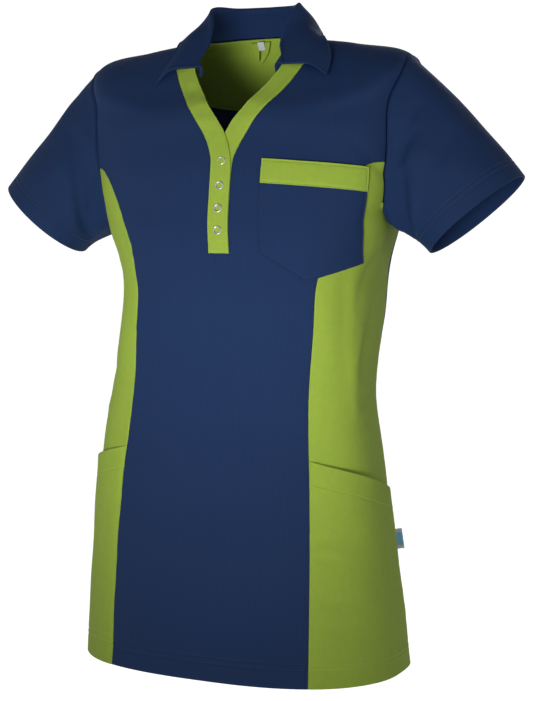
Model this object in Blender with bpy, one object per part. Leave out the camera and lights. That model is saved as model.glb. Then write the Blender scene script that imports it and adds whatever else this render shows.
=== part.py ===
"""Short-sleeved work polo shirt for a woman, standing hollow as it is worn.

Metres, +Z up. The front faces -Y and the wearer's left is +X. The origin is the middle of
the neck opening, level with the points where the shoulder seams meet the neck.

The cloth follows one form: RINGS are sections of the dressed figure from the hem up to the
neck. A place on the form is a turn (degrees round the body, 0 at centre front, 90 at the
wearer's left) and a rise (a ring number, with fractions between rings). Each piece is cut
between seam lines on the form and gets its wall from there.
"""

from collections import namedtuple

import bmesh
import bpy
import numpy as np
from mathutils import Vector

# ---------------------------------------------------------------- driving dimensions
CLOTH = 0.0012           # thickness of one layer of the polyester-cotton cloth
SEAM = 0.0003            # gap between two pieces at a seam
LAP = 0.0005             # gap under a piece that lies on another
HEM_Z = -0.708
BAND_WIDTH = 0.024       # neck bands and placket
STUD_OUTER = 0.0050      # outer radius of a ring stud
STUD_WIRE = 0.0010       # radius of its ring's section
STUD_HEIGHTS = (-0.145, -0.172, -0.197, -0.221)

NAVY = (0.011, 0.034, 0.115, 1.0)
LIME = (0.340, 0.480, 0.058, 1.0)
STEEL = (0.62, 0.62, 0.60, 1.0)
WHITE = (0.80, 0.82, 0.84, 1.0)

Ring = namedtuple("Ring", "side_z front_z back_z half_width front back sway tilt square brow")
RINGS = np.array([
    #    side_z  front_z  back_z  half_w   front   back    sway    tilt  square brow
    Ring(HEM_Z, HEM_Z, HEM_Z, 0.1850, 0.1450, 0.1440, -0.0010, -0.0060, 2.5, 4.0),
    Ring(-0.600, -0.600, -0.600, 0.1765, 0.1220, 0.1230, -0.0055, -0.0060, 2.6, 4.0),
    Ring(-0.500, -0.500, -0.500, 0.1665, 0.1040, 0.0900, -0.0065, -0.0060, 2.8, 4.0),
    Ring(-0.400, -0.400, -0.400, 0.1525, 0.0940, 0.0740, -0.0035, -0.0040, 3.0, 4.0),
    Ring(-0.300, -0.300, -0.300, 0.1455, 0.1080, 0.1040, 0.0070, -0.0020, 3.2, 4.0),
    Ring(-0.250, -0.250, -0.250, 0.1500, 0.1080, 0.1160, 0.0065, -0.0010, 3.2, 4.0),
    Ring(-0.210, -0.210, -0.210, 0.1640, 0.1030, 0.1210, 0.0030, 0.0, 3.2, 4.0),
    Ring(-0.160, -0.160, -0.160, 0.1760, 0.0920, 0.1200, 0.0020, 0.0, 3.4, 4.0),
    Ring(-0.110, -0.115, -0.115, 0.1850, 0.0790, 0.1150, 0.0010, 0.0, 3.4, 6.0),
    Ring(-0.068, -0.098, -0.080, 0.1870, 0.0750, 0.1080, 0.0, 0.0, 3.2, 9.0),
    Ring(-0.024, -0.087, -0.038, 0.1860, 0.0710, 0.0950, 0.0, 0.0, 3.0, 12.0),
    Ring(-0.010, -0.078, -0.008, 0.1240, 0.0680, 0.0840, 0.0, 0.0, 2.4, 8.0),
    Ring(0.000, -0.068, 0.009, 0.0640, 0.0630, 0.0720, 0.0, 0.0, 2.0, 3.0),
    Ring(0.020, -0.050, 0.028, 0.0600, 0.0560, 0.0680, 0.0, 0.0, 2.0, 2.5),
])
UNDERARM, TIP, NECK = 6.0, 10.0, 12.0      # rises of the underarm, shoulder tip and neck

Armhole = namedtuple("Armhole", "front_sweep back_sweep seam_front seam_back")
ARMHOLE = Armhole(18.5, 17.5, 111.0, 251.0)

SeamRow = namedtuple("SeamRow", "rise half_width back_turn")
SEAMS = (                              # front seam from centre front, and the turn of the back seam
    SeamRow(0.00, 0.1165, 104.0),
    SeamRow(1.00, 0.1155, 104.0),
    SeamRow(2.00, 0.1115, 105.0),
    SeamRow(3.00, 0.1050, 106.0),
    SeamRow(4.00, 0.1050, 106.0),
    SeamRow(4.60, 0.1090, 106.0),
    SeamRow(5.10, 0.1120, 106.0),
    SeamRow(5.80, 0.1190, 106.5),
    SeamRow(6.40, 0.1310, 107.0),
    SeamRow(6.95, 0.1470, 107.5),
    SeamRow(7.22, 0.1600, 107.5),
)
BandRow = namedtuple("BandRow", "outer_x outer_z inner_x inner_z")
BAND = (
    BandRow(0.0120, -0.246, -0.0120, -0.246),
    BandRow(0.0120, -0.218, -0.0120, -0.218),
    BandRow(0.0120, -0.190, -0.0120, -0.190),
    BandRow(0.0120, -0.163, -0.0120, -0.163),
    BandRow(0.0128, -0.143, -0.0108, -0.143),
    BandRow(0.0175, -0.128, -0.0055, -0.125),
    BandRow(0.0235, -0.116, 0.0010, -0.110),
    BandRow(0.0315, -0.103, 0.0085, -0.098),
    BandRow(0.0420, -0.0885, 0.0180, -0.086),
    BandRow(0.0550, -0.0720, 0.0295, -0.071),
    BandRow(0.0660, -0.0560, 0.0415, -0.055),
    BandRow(0.0750, -0.0390, 0.0500, -0.0410),
)
CollarRow = namedtuple("CollarRow", "turn roll_x roll_y roll_z edge_turn edge_rise edge_out")
COLLAR = np.array([
    CollarRow(50.0, 0.0560, -0.0355, -0.0290, 66.0, 10.85, 0.0030),
    CollarRow(70.0, 0.0500, -0.0180, -0.0055, 80.0, 11.28, 0.0035),
    CollarRow(90.0, 0.0480, 0.0010, 0.0200, 93.0, 11.60, 0.0040),
    CollarRow(115.0, 0.0500, 0.0190, 0.0400, 116.0, 11.55, 0.0045),
    CollarRow(150.0, 0.0320, 0.0540, 0.0440, 150.0, 11.30, 0.0045),
    CollarRow(180.0, 0.0000, 0.0630, 0.0450, 180.0, 11.20, 0.0045),
])
Cuff = namedtuple("Cuff", "x y z up_x up_z half_height")    # middle, way to its top, size
CUFFS = {"left": Cuff(0.266, 0.004, -0.2035, 0.777, 0.630, 0.067),
         "right": Cuff(0.263, 0.004, -0.2020, 0.745, 0.667, 0.061)}
CUFF_HALF_DEPTH = 0.0520
CAP_LEAVES = (0.74, 0.0, -0.67)        # the way the top of a sleeve leaves the shoulder
SLEEVE_PULLS = (0.28, 0.40)            # share of its length that a sleeve runs straight at each end

POCKET_START, POCKET_WIDTH = 0.047, 0.120     # chest pocket, measured round from centre front
POCKET_POINT_SHARE = 0.42                     # where its point lies across it
POCKET_TOP_IN, POCKET_TOP_OUT = -0.1425, -0.1520
POCKET_BAND, POCKET_LAP, BAND_PROUD = 0.027, 0.0008, 0.0003
POCKET_LOW_IN, POCKET_POINT, POCKET_LOW_OUT = -0.245, -0.276, -0.256

SIDE_POCKET_TOP = -0.466               # at the front seam; it falls towards the back seam
SIDE_POCKET_DROP = 0.042
SIDE_POCKET_BULGE, SIDE_POCKET_LAP = 0.004, 0.0008

LEVELS = np.array([0, 0.5, 1, 1.5, 2, 2.5, 3, 3.5, 4, 5, 6, 7, 8, 9, 10, 11])   # rows of SEAMS
ARM_ROWS = 9                           # rows of each panel along its part of an armhole
BAND_CROSS, BAND_CLEAR = 6.5, 10.0     # band rows where the right band lies over, and flush
BAND_FOOT = 0.02                       # band row where the bands start, clear of the slit's foot
COLLAR_END = 50.0                      # turn of the collar's front ends
COLLAR_CLOTH = 0.0018
ROLL_DROPS = (0.0012, 0.0033)          # how far the cloth is down a roll's width away, front and back
SEAM_RISES = (0.12, 0.05)              # rise of the collar's seam above the neckline, front and back
STAND_HOLLOW, LEAF_SWELL = 0.0005, 0.002      # how far the stand leans in and the leaf swells out
BACK_COLUMNS, NECK_COLUMNS, SIDE_COLUMNS = 8, 5, 10

FACING_FIRST = 3                       # the back's column where the facing starts
FACING_ROWS = (5.05, 5.35, 5.50, 5.60, 5.65, 5.70)    # how many of its rows it covers
FACING_GAP, FACING_CLOTH, LOOP_LAP = 0.0008, 0.0010, 0.0012
LOOP_X, LOOP_TOP, LOOP_CLOTH = -0.0115, 0.006, 0.0010
LOOP_OUTER, LOOP_INNER = (0.0125, 0.026), (0.0035, 0.017)      # half width and depth
SIZE_LABEL = (0.0085, 0.0080)
SIDE_LABEL_ENDS, SIDE_LABEL_WIDTH, SIDE_LABEL_CLOTH = (-0.578, -0.555), 0.009, 0.0010
SIDE_LABEL_BEHIND = 0.4                # degrees behind the seam


# ---------------------------------------------------------------- the form
def between(table, place):
    """Rows of a table at fractional row numbers, on a smooth curve through the rows."""
    table = np.asarray(table, float)
    place = np.clip(np.asarray(place, float), 0.0, len(table) - 1)
    low = np.minimum(place.astype(int), len(table) - 2)
    part = (place - low)[..., None]
    padded = np.vstack([2 * table[0] - table[1], table, 2 * table[-1] - table[-2]])
    a, b, c, d = (padded[low + k] for k in range(4))
    return b + 0.5 * part * (c - a + part * (2 * a - 5 * b + 4 * c - d + part * (3 * (b - c) + d - a)))


def reach(turn, ring):
    """Distance from a ring's middle to its edge, on a squared-off ellipse."""
    depth = (ring[..., 4] + ring[..., 5]) / 2
    across = np.abs(np.sin(np.radians(turn))) / ring[..., 3]
    along = np.abs(np.cos(np.radians(turn))) / depth
    square = ring[..., 8]
    return (across ** square + along ** square) ** (-1.0 / square)


def form(turn, rise):
    """Points of the cloth's outer face."""
    turn, rise = np.broadcast_arrays(np.asarray(turn, float), np.asarray(rise, float))
    ring = between(RINGS, rise)
    sin, cos = np.sin(np.radians(turn)), np.cos(np.radians(turn))
    far = reach(turn, ring)
    end_z = np.where(cos > 0, ring[..., 1], ring[..., 2])
    z = ring[..., 0] + (end_z - ring[..., 0]) * (1 - np.abs(sin) ** ring[..., 9])
    z = z + ring[..., 7] * sin
    middle = (ring[..., 5] - ring[..., 4]) / 2
    return np.stack([ring[..., 6] + far * sin, middle - far * cos, z], -1)


def unit(vectors):
    return vectors / np.linalg.norm(vectors, axis=-1, keepdims=True)


def skin(turn, rise, out):
    """Points moved out from the form along its normal; a negative distance goes inside."""
    round_it = form(np.asarray(turn) + 0.3, rise) - form(np.asarray(turn) - 0.3, rise)
    up_it = form(turn, np.asarray(rise) + 0.02) - form(turn, np.asarray(rise) - 0.02)
    return form(turn, rise) + unit(np.cross(round_it, up_it)) * np.asarray(out)[..., None]


def turn_at(half_width, rise):
    """Turn of the front point that lies half_width to the left of centre front."""
    half_width, rise = np.broadcast_arrays(np.asarray(half_width, float), np.asarray(rise, float))
    ring = between(RINGS, rise)
    low, high = np.full(rise.shape, -70.0), np.full(rise.shape, 88.0)
    for _ in range(40):
        middle = (low + high) / 2
        short = reach(middle, ring) * np.sin(np.radians(middle)) < half_width
        low, high = np.where(short, middle, low), np.where(short, high, middle)
    return low


def spot(x, z):
    """Turn and rise of the front point with this x (from the centre line) and height."""
    low, high = 0.0, float(len(RINGS) - 1)
    for _ in range(40):
        rise = (low + high) / 2
        at = form(turn_at(x, rise), rise)
        low, high = (rise, high) if at[2] < z else (low, rise)
    return float(turn_at(x, low)), low


def round_turn(distance, rise):
    """Turn of the front point that lies this far round the ring from centre front."""
    turns = np.linspace(0, 120, 241)
    points = form(turns, rise)
    run = np.concatenate([[0], np.cumsum(np.linalg.norm(np.diff(points, axis=0), axis=1))])
    return float(np.interp(distance, run, turns))


def height_rise(turn, z):
    """Rise of the point at this turn with this height."""
    low, high = 0.0, NECK
    for _ in range(40):
        rise = (low + high) / 2
        low, high = (rise, high) if form(turn, rise)[2] < z else (low, rise)
    return low


# ---------------------------------------------------------------- seam lines on the form
def armhole(angle):
    """Turn and rise round the armhole; 0 is the shoulder tip, 90 its front, 180 under the arm."""
    sin, cos = np.sin(np.radians(angle)), np.cos(np.radians(angle))
    sweep = np.where(sin > 0, ARMHOLE.front_sweep, ARMHOLE.back_sweep)
    fullness = 0.8 + 0.25 * cos
    turn = 90.0 - sweep * np.sign(sin) * np.abs(sin) ** fullness
    rise = (TIP + UNDERARM) / 2 + (TIP - UNDERARM) / 2 * cos
    return np.stack([turn, rise], -1)


FRONT_LINE = np.array([(float(turn_at(row.half_width, row.rise)), row.rise) for row in SEAMS]
                      + [tuple(armhole(ARMHOLE.seam_front))])
BACK_LINE = np.array([(row.back_turn, row.rise) for row in SEAMS]
                     + [tuple(armhole(ARMHOLE.seam_back))])
BAND_OUTER = np.array([spot(row.outer_x, row.outer_z) for row in BAND]
                      + [(84.0, 11.45), (90.0, 11.55)])
BAND_INNER = np.array([spot(row.inner_x, row.inner_z) for row in BAND]
                      + [(70.0, NECK), (90.0, NECK)])
PLACKET_FOOT = 6                     # the row of FRONT_LINE that is level with the placket's foot


def band_places():
    """Rows of BAND that the bands and the front share."""
    joined = len(FRONT_LINE) - 1 - PLACKET_FOOT
    lower = LEVELS[LEVELS >= PLACKET_FOOT] - PLACKET_FOOT
    return np.concatenate([lower, np.linspace(joined, len(BAND_OUTER) - 1, ARM_ROWS + 1)[1:]])


def front_rows():
    """Inner and outer edge of half the front, from the hem to the shoulder seam."""
    outer = between(FRONT_LINE, LEVELS)
    low = LEVELS < PLACKET_FOOT
    below = np.stack([turn_at(BAND_WIDTH / 2, outer[low, 1]), outer[low, 1]], -1)
    inner = np.vstack([below, between(BAND_OUTER, band_places())])
    arm = armhole(np.linspace(ARMHOLE.seam_front, 0, ARM_ROWS + 1)[1:])
    return inner, np.vstack([outer, arm])


# ---------------------------------------------------------------- making pieces
def material(name, colour, roughness, metallic=0.0):
    made = bpy.data.materials.new(name)
    made.use_nodes = True
    shader = made.node_tree.nodes["Principled BSDF"]
    shader.inputs["Base Color"].default_value = colour
    shader.inputs["Roughness"].default_value = roughness
    shader.inputs["Metallic"].default_value = metallic
    return made


def finish(name, bm, colour, roughness=0.85, metallic=0.0):
    """Turns a bmesh into a named object of the shirt, with its own material."""
    bmesh.ops.recalc_face_normals(bm, faces=bm.faces)
    if bm.calc_volume(signed=True) < 0:
        bmesh.ops.reverse_faces(bm, faces=bm.faces)
    mesh = bpy.data.meshes.new(name)
    bm.to_mesh(mesh)
    bm.free()
    mesh.shade_smooth()
    mesh.materials.append(material(name, colour, roughness, metallic))
    piece = bpy.data.objects.new(name, mesh)
    SHIRT.objects.link(piece)
    return piece


def sew_back(points, edges, back):
    """Draws the named edges of a sheet of points back, square to each edge."""
    for edge in edges:
        rim, near = {"left": (np.s_[:, 0], np.s_[:, 1]), "right": (np.s_[:, -1], np.s_[:, -2]),
                     "foot": (np.s_[0], np.s_[1]), "top": (np.s_[-1], np.s_[-2])}[edge]
        inward, run = points[near] - points[rim], np.gradient(points[rim], axis=0)
        inward -= run * (np.sum(inward * run, -1) / np.sum(run * run, -1))[:, None]
        points[rim] += unit(inward) * back
    return points


def cloth(name, colour, outer, inner, edges=("left", "right", "foot", "top"), back=SEAM / 2,
          holes=None, closed=False):
    """A wall of cloth between two sheets of points: a grid, extruded, then bent to shape.

    A closed piece, such as a sleeve, is rolled up first, so that its last column meets its
    first one.
    """
    rows, columns = outer.shape[:2]
    outer, inner = sew_back(outer, edges, back), sew_back(inner, edges, back)
    bm = bmesh.new()
    bmesh.ops.create_grid(bm, x_segments=columns - 1 + closed, y_segments=rows - 1, size=0.5)
    if holes:
        cut = [face for face in bm.faces if holes(*cell(face.calc_center_median(), rows, columns))]
        bmesh.ops.delete(bm, geom=cut, context="FACES")
    if closed:
        for vert in bm.verts:
            angle = 2 * np.pi * (vert.co.x + 0.5)
            vert.co = (np.cos(angle), np.sin(angle), vert.co.y)
        bmesh.ops.remove_doubles(bm, verts=bm.verts, dist=1e-4)
        for vert in bm.verts:
            angle = np.arctan2(vert.co.y, vert.co.x) / (2 * np.pi) % 1.0
            vert.co = (round(angle * columns) % columns / (columns - 1) - 0.5, vert.co.z, 0)
    raised = bmesh.ops.extrude_face_region(bm, geom=bm.faces[:])["geom"]
    lifted = {item for item in raised if isinstance(item, bmesh.types.BMVert)}
    for vert in bm.verts:
        row, column = (int(round(place)) for place in cell(vert.co, rows, columns))
        vert.co = inner[row, column] if vert in lifted else outer[row, column]
    return finish(name, bm, colour)


def cell(co, rows, columns):
    """Row and column of a point of the flat grid."""
    return (co.y + 0.5) * (rows - 1), (co.x + 0.5) * (columns - 1)


def sheet(places, out, thickness=CLOTH):
    """The outer and inner face of cloth that lies this far out from the form."""
    turn, rise = places[..., 0], places[..., 1]
    return skin(turn, rise, np.asarray(out)), skin(turn, rise, np.asarray(out) - thickness)


def across(left, right, columns):
    """Places between two edges, as rows of a grid."""
    part = np.linspace(0, 1, columns + 1)[None, :, None]
    return left[:, None] * (1 - part) + right[:, None] * part


def mirrored(places):
    """The same places on the wearer's right, still running left to right in the grid."""
    return places[:, ::-1] * np.array([-1.0, 1.0])


# ---------------------------------------------------------------- the pieces
def make_front():
    """One navy panel, slit at centre front for the placket and cut away along the neck."""
    inner, outer = front_rows()
    half = across(inner, outer, 6)
    centre = inner[:, None] * np.array([0.0, 1.0])
    places = np.concatenate([mirrored(half), centre, half], axis=1)
    middle = half.shape[1]
    slit_row = int(np.sum(LEVELS < PLACKET_FOOT))
    cloth("front_panel", NAVY, *sheet(places, 0.0),
          holes=lambda row, column: row > slit_row and middle - 1 < column < middle + 1)


def back_places():
    """The whole back: half of it runs from the side seam and armhole to centre back."""
    arm = armhole(np.linspace(ARMHOLE.seam_back, 360, ARM_ROWS + 1)[1:])
    outer = np.vstack([between(BACK_LINE, LEVELS), arm])
    low = len(outer) - ARM_ROWS
    rise = np.concatenate([outer[:low, 1],
                           np.linspace(outer[low - 1, 1], NECK, ARM_ROWS + 1)[1:]])
    centre = np.stack([np.full(len(outer), 180.0), rise], -1)
    half = across(outer, centre, BACK_COLUMNS)
    shoulder = across(np.array([[90.0, TIP]]), np.array([[90.0, NECK]]), BACK_COLUMNS - NECK_COLUMNS)
    neck = across(np.array([[90.0, NECK]]), np.array([[180.0, NECK]]), NECK_COLUMNS)
    top = np.vstack([shoulder[0], neck[0, 1:]])
    pull = np.clip((np.arange(len(outer)) - low + 1) / ARM_ROWS, 0, 1) ** 1.5
    half += pull[:, None, None] * (top - half[-1])[None]
    other = half[:, ::-1] * np.array([-1.0, 1.0]) + np.array([360.0, 0.0])
    return np.concatenate([half, other[:, 1:]], axis=1)


def make_back():
    """One navy panel from side seam to side seam, up to the shoulders and the back neck."""
    cloth("back_panel", NAVY, *sheet(back_places(), 0.0))


def side_places():
    """The side panel: front seam to back seam, hem to armhole."""
    places = across(between(FRONT_LINE, LEVELS), between(BACK_LINE, LEVELS), SIDE_COLUMNS)
    under = armhole(np.linspace(ARMHOLE.seam_front, ARMHOLE.seam_back, SIDE_COLUMNS + 1))
    pull = np.clip((LEVELS - PLACKET_FOOT) / (LEVELS[-1] - PLACKET_FOOT), 0, 1) ** 1.5
    places += pull[:, None, None] * (under - places[-1])[None]
    return places


def make_sides():
    """A lime panel under each arm, from the hem to the armhole."""
    places = side_places()
    cloth("side_panel_left", LIME, *sheet(places, 0.0))
    cloth("side_panel_right", LIME, *sheet(mirrored(places), 0.0))


def sleeve_sheets(cuff, rows, angles):
    """Outer and inner face of a left sleeve, from the armhole to the cuff."""
    start = armhole(angles)
    root = form(start[:, 0], start[:, 1])
    up = np.array([cuff.up_x, 0.0, cuff.up_z])
    axis = np.array([cuff.up_z, 0.0, -cuff.up_x])
    cos, sin = np.cos(np.radians(angles))[:, None], np.sin(np.radians(angles))[:, None]
    rim = (np.array([cuff.x, cuff.y, cuff.z]) + cuff.half_height * cos * up
           + CUFF_HALF_DEPTH * sin * np.array([0.0, -1.0, 0.0]))
    leave = unit(axis * (1 - cos) / 2 + np.array(CAP_LEAVES) * (1 + cos) / 2)
    span = np.linalg.norm(rim - root, axis=-1, keepdims=True)
    first, second = root + leave * span * SLEEVE_PULLS[0], rim - axis * span * SLEEVE_PULLS[1]
    part = np.linspace(0, 1, rows + 1)[:, None, None]
    outer = ((1 - part) ** 3 * root + 3 * (1 - part) ** 2 * part * first
             + 3 * (1 - part) * part ** 2 * second + part ** 3 * rim)
    outer[0] += leave * SEAM
    along = np.gradient(outer, axis=0)
    ring = np.roll(outer, -1, axis=1) - np.roll(outer, 1, axis=1)
    return outer, outer - unit(np.cross(ring, along)) * CLOTH


def make_sleeves():
    """Set-in short sleeves, each a tube from the armhole to a wide cuff."""
    front, back = ARMHOLE.seam_front, ARMHOLE.seam_back
    angles = np.concatenate([
        np.linspace(0, front, ARM_ROWS + 1)[:-1],
        np.linspace(front, back, SIDE_COLUMNS + 1)[:-1],
        np.linspace(back, 360, ARM_ROWS + 1)[:-1],
    ])
    for side, sign in (("left", 1.0), ("right", -1.0)):
        flip = np.array([sign, 1.0, 1.0])
        outer, inner = sleeve_sheets(CUFFS[side], 7, angles)
        cloth("sleeve_" + side, NAVY, outer * flip, inner * flip, edges=(), closed=True)


def make_bands():
    """Lime strips round the V neck. The wearer's right one runs on down as the placket."""
    place = np.maximum(band_places(), BAND_FOOT)
    places = across(between(BAND_INNER, place), between(BAND_OUTER, place), 2)
    cloth("neck_band_left", LIME, *sheet(places, 0.0), back=SEAM)
    crossing = np.clip((BAND_CLEAR - place) / (BAND_CLEAR - BAND_CROSS), 0, 1)
    lift = (CLOTH + SEAM) * crossing * crossing * (3 - 2 * crossing)
    cloth("neck_band_right", LIME, *sheet(mirrored(places), lift[:, None]), back=SEAM)


def make_studs():
    """Four ring studs on the placket."""
    for number, height in enumerate(STUD_HEIGHTS, 1):
        rise = height_rise(0.0, height)
        seat = skin(0.0, rise, CLOTH + SEAM + LAP / 2 + STUD_WIRE)
        facing = Vector(unit(seat - form(0.0, rise)))
        bpy.ops.mesh.primitive_torus_add(
            major_segments=14, minor_segments=6, major_radius=STUD_OUTER - STUD_WIRE,
            minor_radius=STUD_WIRE, location=seat, rotation=facing.to_track_quat("Z", "Y").to_euler())
        stud = bpy.context.object
        stud.name = f"ring_stud_{number}"
        stud.data.name = stud.name
        stud.data.shade_smooth()
        stud.data.materials.append(material(stud.name, STEEL, 0.3, 1.0))
        for home in list(stud.users_collection):
            home.objects.unlink(stud)
        SHIRT.objects.link(stud)


def make_collar():
    """One navy collar: it stands at the neck, rolls over and falls to two points."""
    front_part = np.linspace(COLLAR_END, 90, 5)[:-1]
    back_part = np.linspace(90, 270, 4 * NECK_COLUMNS + 1)
    turns = np.concatenate([front_part, back_part, 360 - front_part[::-1]])
    far_side = turns > 180
    half = np.where(far_side, 360 - turns, turns)
    row = between(COLLAR, np.interp(half, COLLAR[:, 0], np.arange(len(COLLAR))))
    roll = row[:, 1:4] * np.where(far_side, -1.0, 1.0)[:, None] ** np.array([1, 0, 0])
    edge = skin(np.where(far_side, 360 - row[:, 4], row[:, 4]), row[:, 5], row[:, 6])
    seam = skin(turns, NECK + np.interp(half, (COLLAR_END, 90), SEAM_RISES), -CLOTH / 2)
    chords = np.arange(len(front_part) + 1, len(front_part) + len(back_part), 2)
    seam[chords] = (seam[chords - 1] + seam[chords + 1]) / 2
    away = unit((edge - roll) * np.array([1.0, 1.0, 0.0]))
    up = np.array([0.0, 0.0, 1.0])
    drop = np.interp(half, (COLLAR_END, 90), ROLL_DROPS)[:, None]
    stand = (seam + roll) / 2 - away * STAND_HOLLOW
    leaf = (edge + roll) / 2 + (away + up) * LEAF_SWELL
    lines = np.stack([seam, stand, roll - (away + up) * drop, roll, roll + (away - up) * drop,
                      leaf, edge])
    place = np.array([0, 1, 2, 2.5, 3, 3.5, 4, 5, 6])
    lines = between(lines.reshape(7, -1), place).reshape(len(place), len(turns), 3)
    along = np.gradient(lines, axis=1)
    up_it = np.gradient(lines, axis=0)
    side = unit(np.cross(along, up_it))
    cloth("collar", NAVY, lines + side * COLLAR_CLOTH / 2, lines - side * COLLAR_CLOTH / 2, edges=())


def along_column(column, row):
    """Points of a column of the grid at fractional row numbers, in straight steps."""
    low = np.minimum(row.astype(int), len(column) - 2)
    part = (row - low)[:, None]
    return column[low] * (1 - part) + column[low + 1] * part


def back_place(x, z):
    """Turn and rise of a point of the back, from its x and height."""
    rise = height_rise(180.0, z)
    turn = 180.0 - float(turn_at(x, rise))
    return turn, height_rise(turn, z)


def make_neck_back():
    """The lime half-moon facing inside the back, its hanger loop and a blank size label."""
    face, lining = sheet(back_places(), -CLOTH)
    lining = face - (face - lining) * FACING_GAP / CLOTH
    inward = unit(lining - face)
    last = len(face) - 1
    grids = [[], []]
    for column in range(FACING_FIRST, face.shape[1] - FACING_FIRST):
        side = min(column, face.shape[1] - 1 - column) - FACING_FIRST
        rows = np.append(last - FACING_ROWS[side], np.arange(last - 5, last + 1))
        points = along_column(lining[:, column], rows)
        way = along_column(inward[:, column], rows)
        grids[0].append(points)
        grids[1].append(points + way * FACING_CLOTH)
    outer, inner = (np.array(grid).transpose(1, 0, 2) for grid in grids)
    cloth("back_neck_facing", LIME, outer, inner)
    angles = np.linspace(0, np.pi, 13)
    inside = CLOTH + FACING_GAP + FACING_CLOTH + LOOP_LAP
    loop = [[back_place(LOOP_X + wide * np.cos(a), LOOP_TOP - deep * np.sin(a)) for a in angles]
            for wide, deep in (LOOP_OUTER, LOOP_INNER)]
    cloth("hanger_loop", LIME, *sheet(np.array(loop), -inside, LOOP_CLOTH))
    wide, deep = SIZE_LABEL
    label = [[back_place(LOOP_X + x, LOOP_TOP + z) for x in np.linspace(-wide / 2, wide / 2, 3)]
             for z in (0.0005 - deep, 0.0005)]
    cloth("size_label", WHITE, *sheet(np.array(label), -inside - LOOP_CLOTH - LAP, LOOP_CLOTH))


def pocket_place(part, z):
    """A place on the chest pocket, by its share of the width and its height."""
    turn = 45.0
    for _ in range(4):
        rise = height_rise(turn, z)
        turn = round_turn(POCKET_START + POCKET_WIDTH * part, rise)
    return turn, rise


def make_chest_pocket():
    """A navy five-sided patch on the wearer's left with a lime band along its top."""
    parts = np.concatenate([np.linspace(0, POCKET_POINT_SHARE, 5),
                            np.linspace(POCKET_POINT_SHARE, 1, 6)[1:]])
    top = np.interp(parts, (0, 1), (POCKET_TOP_IN, POCKET_TOP_OUT))
    low = np.interp(parts, (0, POCKET_POINT_SHARE, 1),
                    (POCKET_LOW_IN, POCKET_POINT, POCKET_LOW_OUT))
    for name, colour, ends, extra in (
            ("chest_pocket", NAVY, (low, top - POCKET_BAND), 0.0),
            ("chest_pocket_band", LIME, (top - POCKET_BAND, top), BAND_PROUD)):
        rows = 7 if colour == NAVY else 2
        heights = [ends[0] + (ends[1] - ends[0]) * k / rows for k in range(rows + 1)]
        places = np.array([[pocket_place(*at) for at in zip(parts, row)] for row in heights])
        cloth(name, colour, *sheet(places, POCKET_LAP + CLOTH + extra, CLOTH + extra))


def make_side_pockets():
    """A lime layer over the lower side panels, open along its slanting top edge."""
    part = np.linspace(0, 1, 13)
    fronts, backs = FRONT_LINE[:5], BACK_LINE[:5]
    heights = SIDE_POCKET_TOP - SIDE_POCKET_DROP * part
    ends = np.interp(heights, RINGS[:5, 0], np.arange(5))
    level = np.linspace(0, 1, 7)
    rise = level[:, None] * ends
    front, back = between(fronts, rise), between(backs, rise)
    places = front * (1 - part[None, :, None]) + back * part[None, :, None]
    bulge = SIDE_POCKET_BULGE * np.sin(np.pi * part) ** 0.7 * (level ** 4)[:, None]
    cloth("side_pocket_left", LIME, *sheet(places, SIDE_POCKET_LAP + CLOTH + bulge))
    cloth("side_pocket_right", LIME, *sheet(mirrored(places), SIDE_POCKET_LAP + CLOTH + bulge[:, ::-1]))


def make_side_label():
    """A blank woven label caught in the wearer's left back seam."""
    rise = [float(np.interp(z, RINGS[:4, 0], np.arange(4))) for z in SIDE_LABEL_ENDS]
    low, high = (between(BACK_LINE, place) + (SIDE_LABEL_BEHIND, 0) for place in rise)
    places = np.stack([low, high])
    root, tip = (skin(places[:, 0], places[:, 1], out) for out in (LAP, LAP + SIDE_LABEL_WIDTH))
    face = np.stack([root, tip], 1)
    side = unit(np.cross(face[:, 1] - face[:, 0], face[1] - face[0])) * SIDE_LABEL_CLOTH / 2
    cloth("side_label", WHITE, face + side[:, None], face - side[:, None], edges=())


def build():
    make_front()
    make_back()
    make_sides()
    make_sleeves()
    make_bands()
    make_studs()
    make_collar()
    make_neck_back()
    make_chest_pocket()
    make_side_pockets()
    make_side_label()


for old in list(bpy.data.objects):
    bpy.data.objects.remove(old, do_unlink=True)
SHIRT = bpy.data.collections.new("polo_shirt")
bpy.context.scene.collection.children.link(SHIRT)
build()
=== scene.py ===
"""Short-sleeved work polo shirt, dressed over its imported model: cloth, seams, creases and stitching.

Metres, +Z up. The front faces -Y and the wearer's left is +X. A place on the shirt is a turn
(degrees round the body from centre front) and a rise (a number in the table of rings).
"""

from collections import namedtuple

import bmesh
import bpy
import numpy as np
from mathutils import Matrix, Vector


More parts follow.
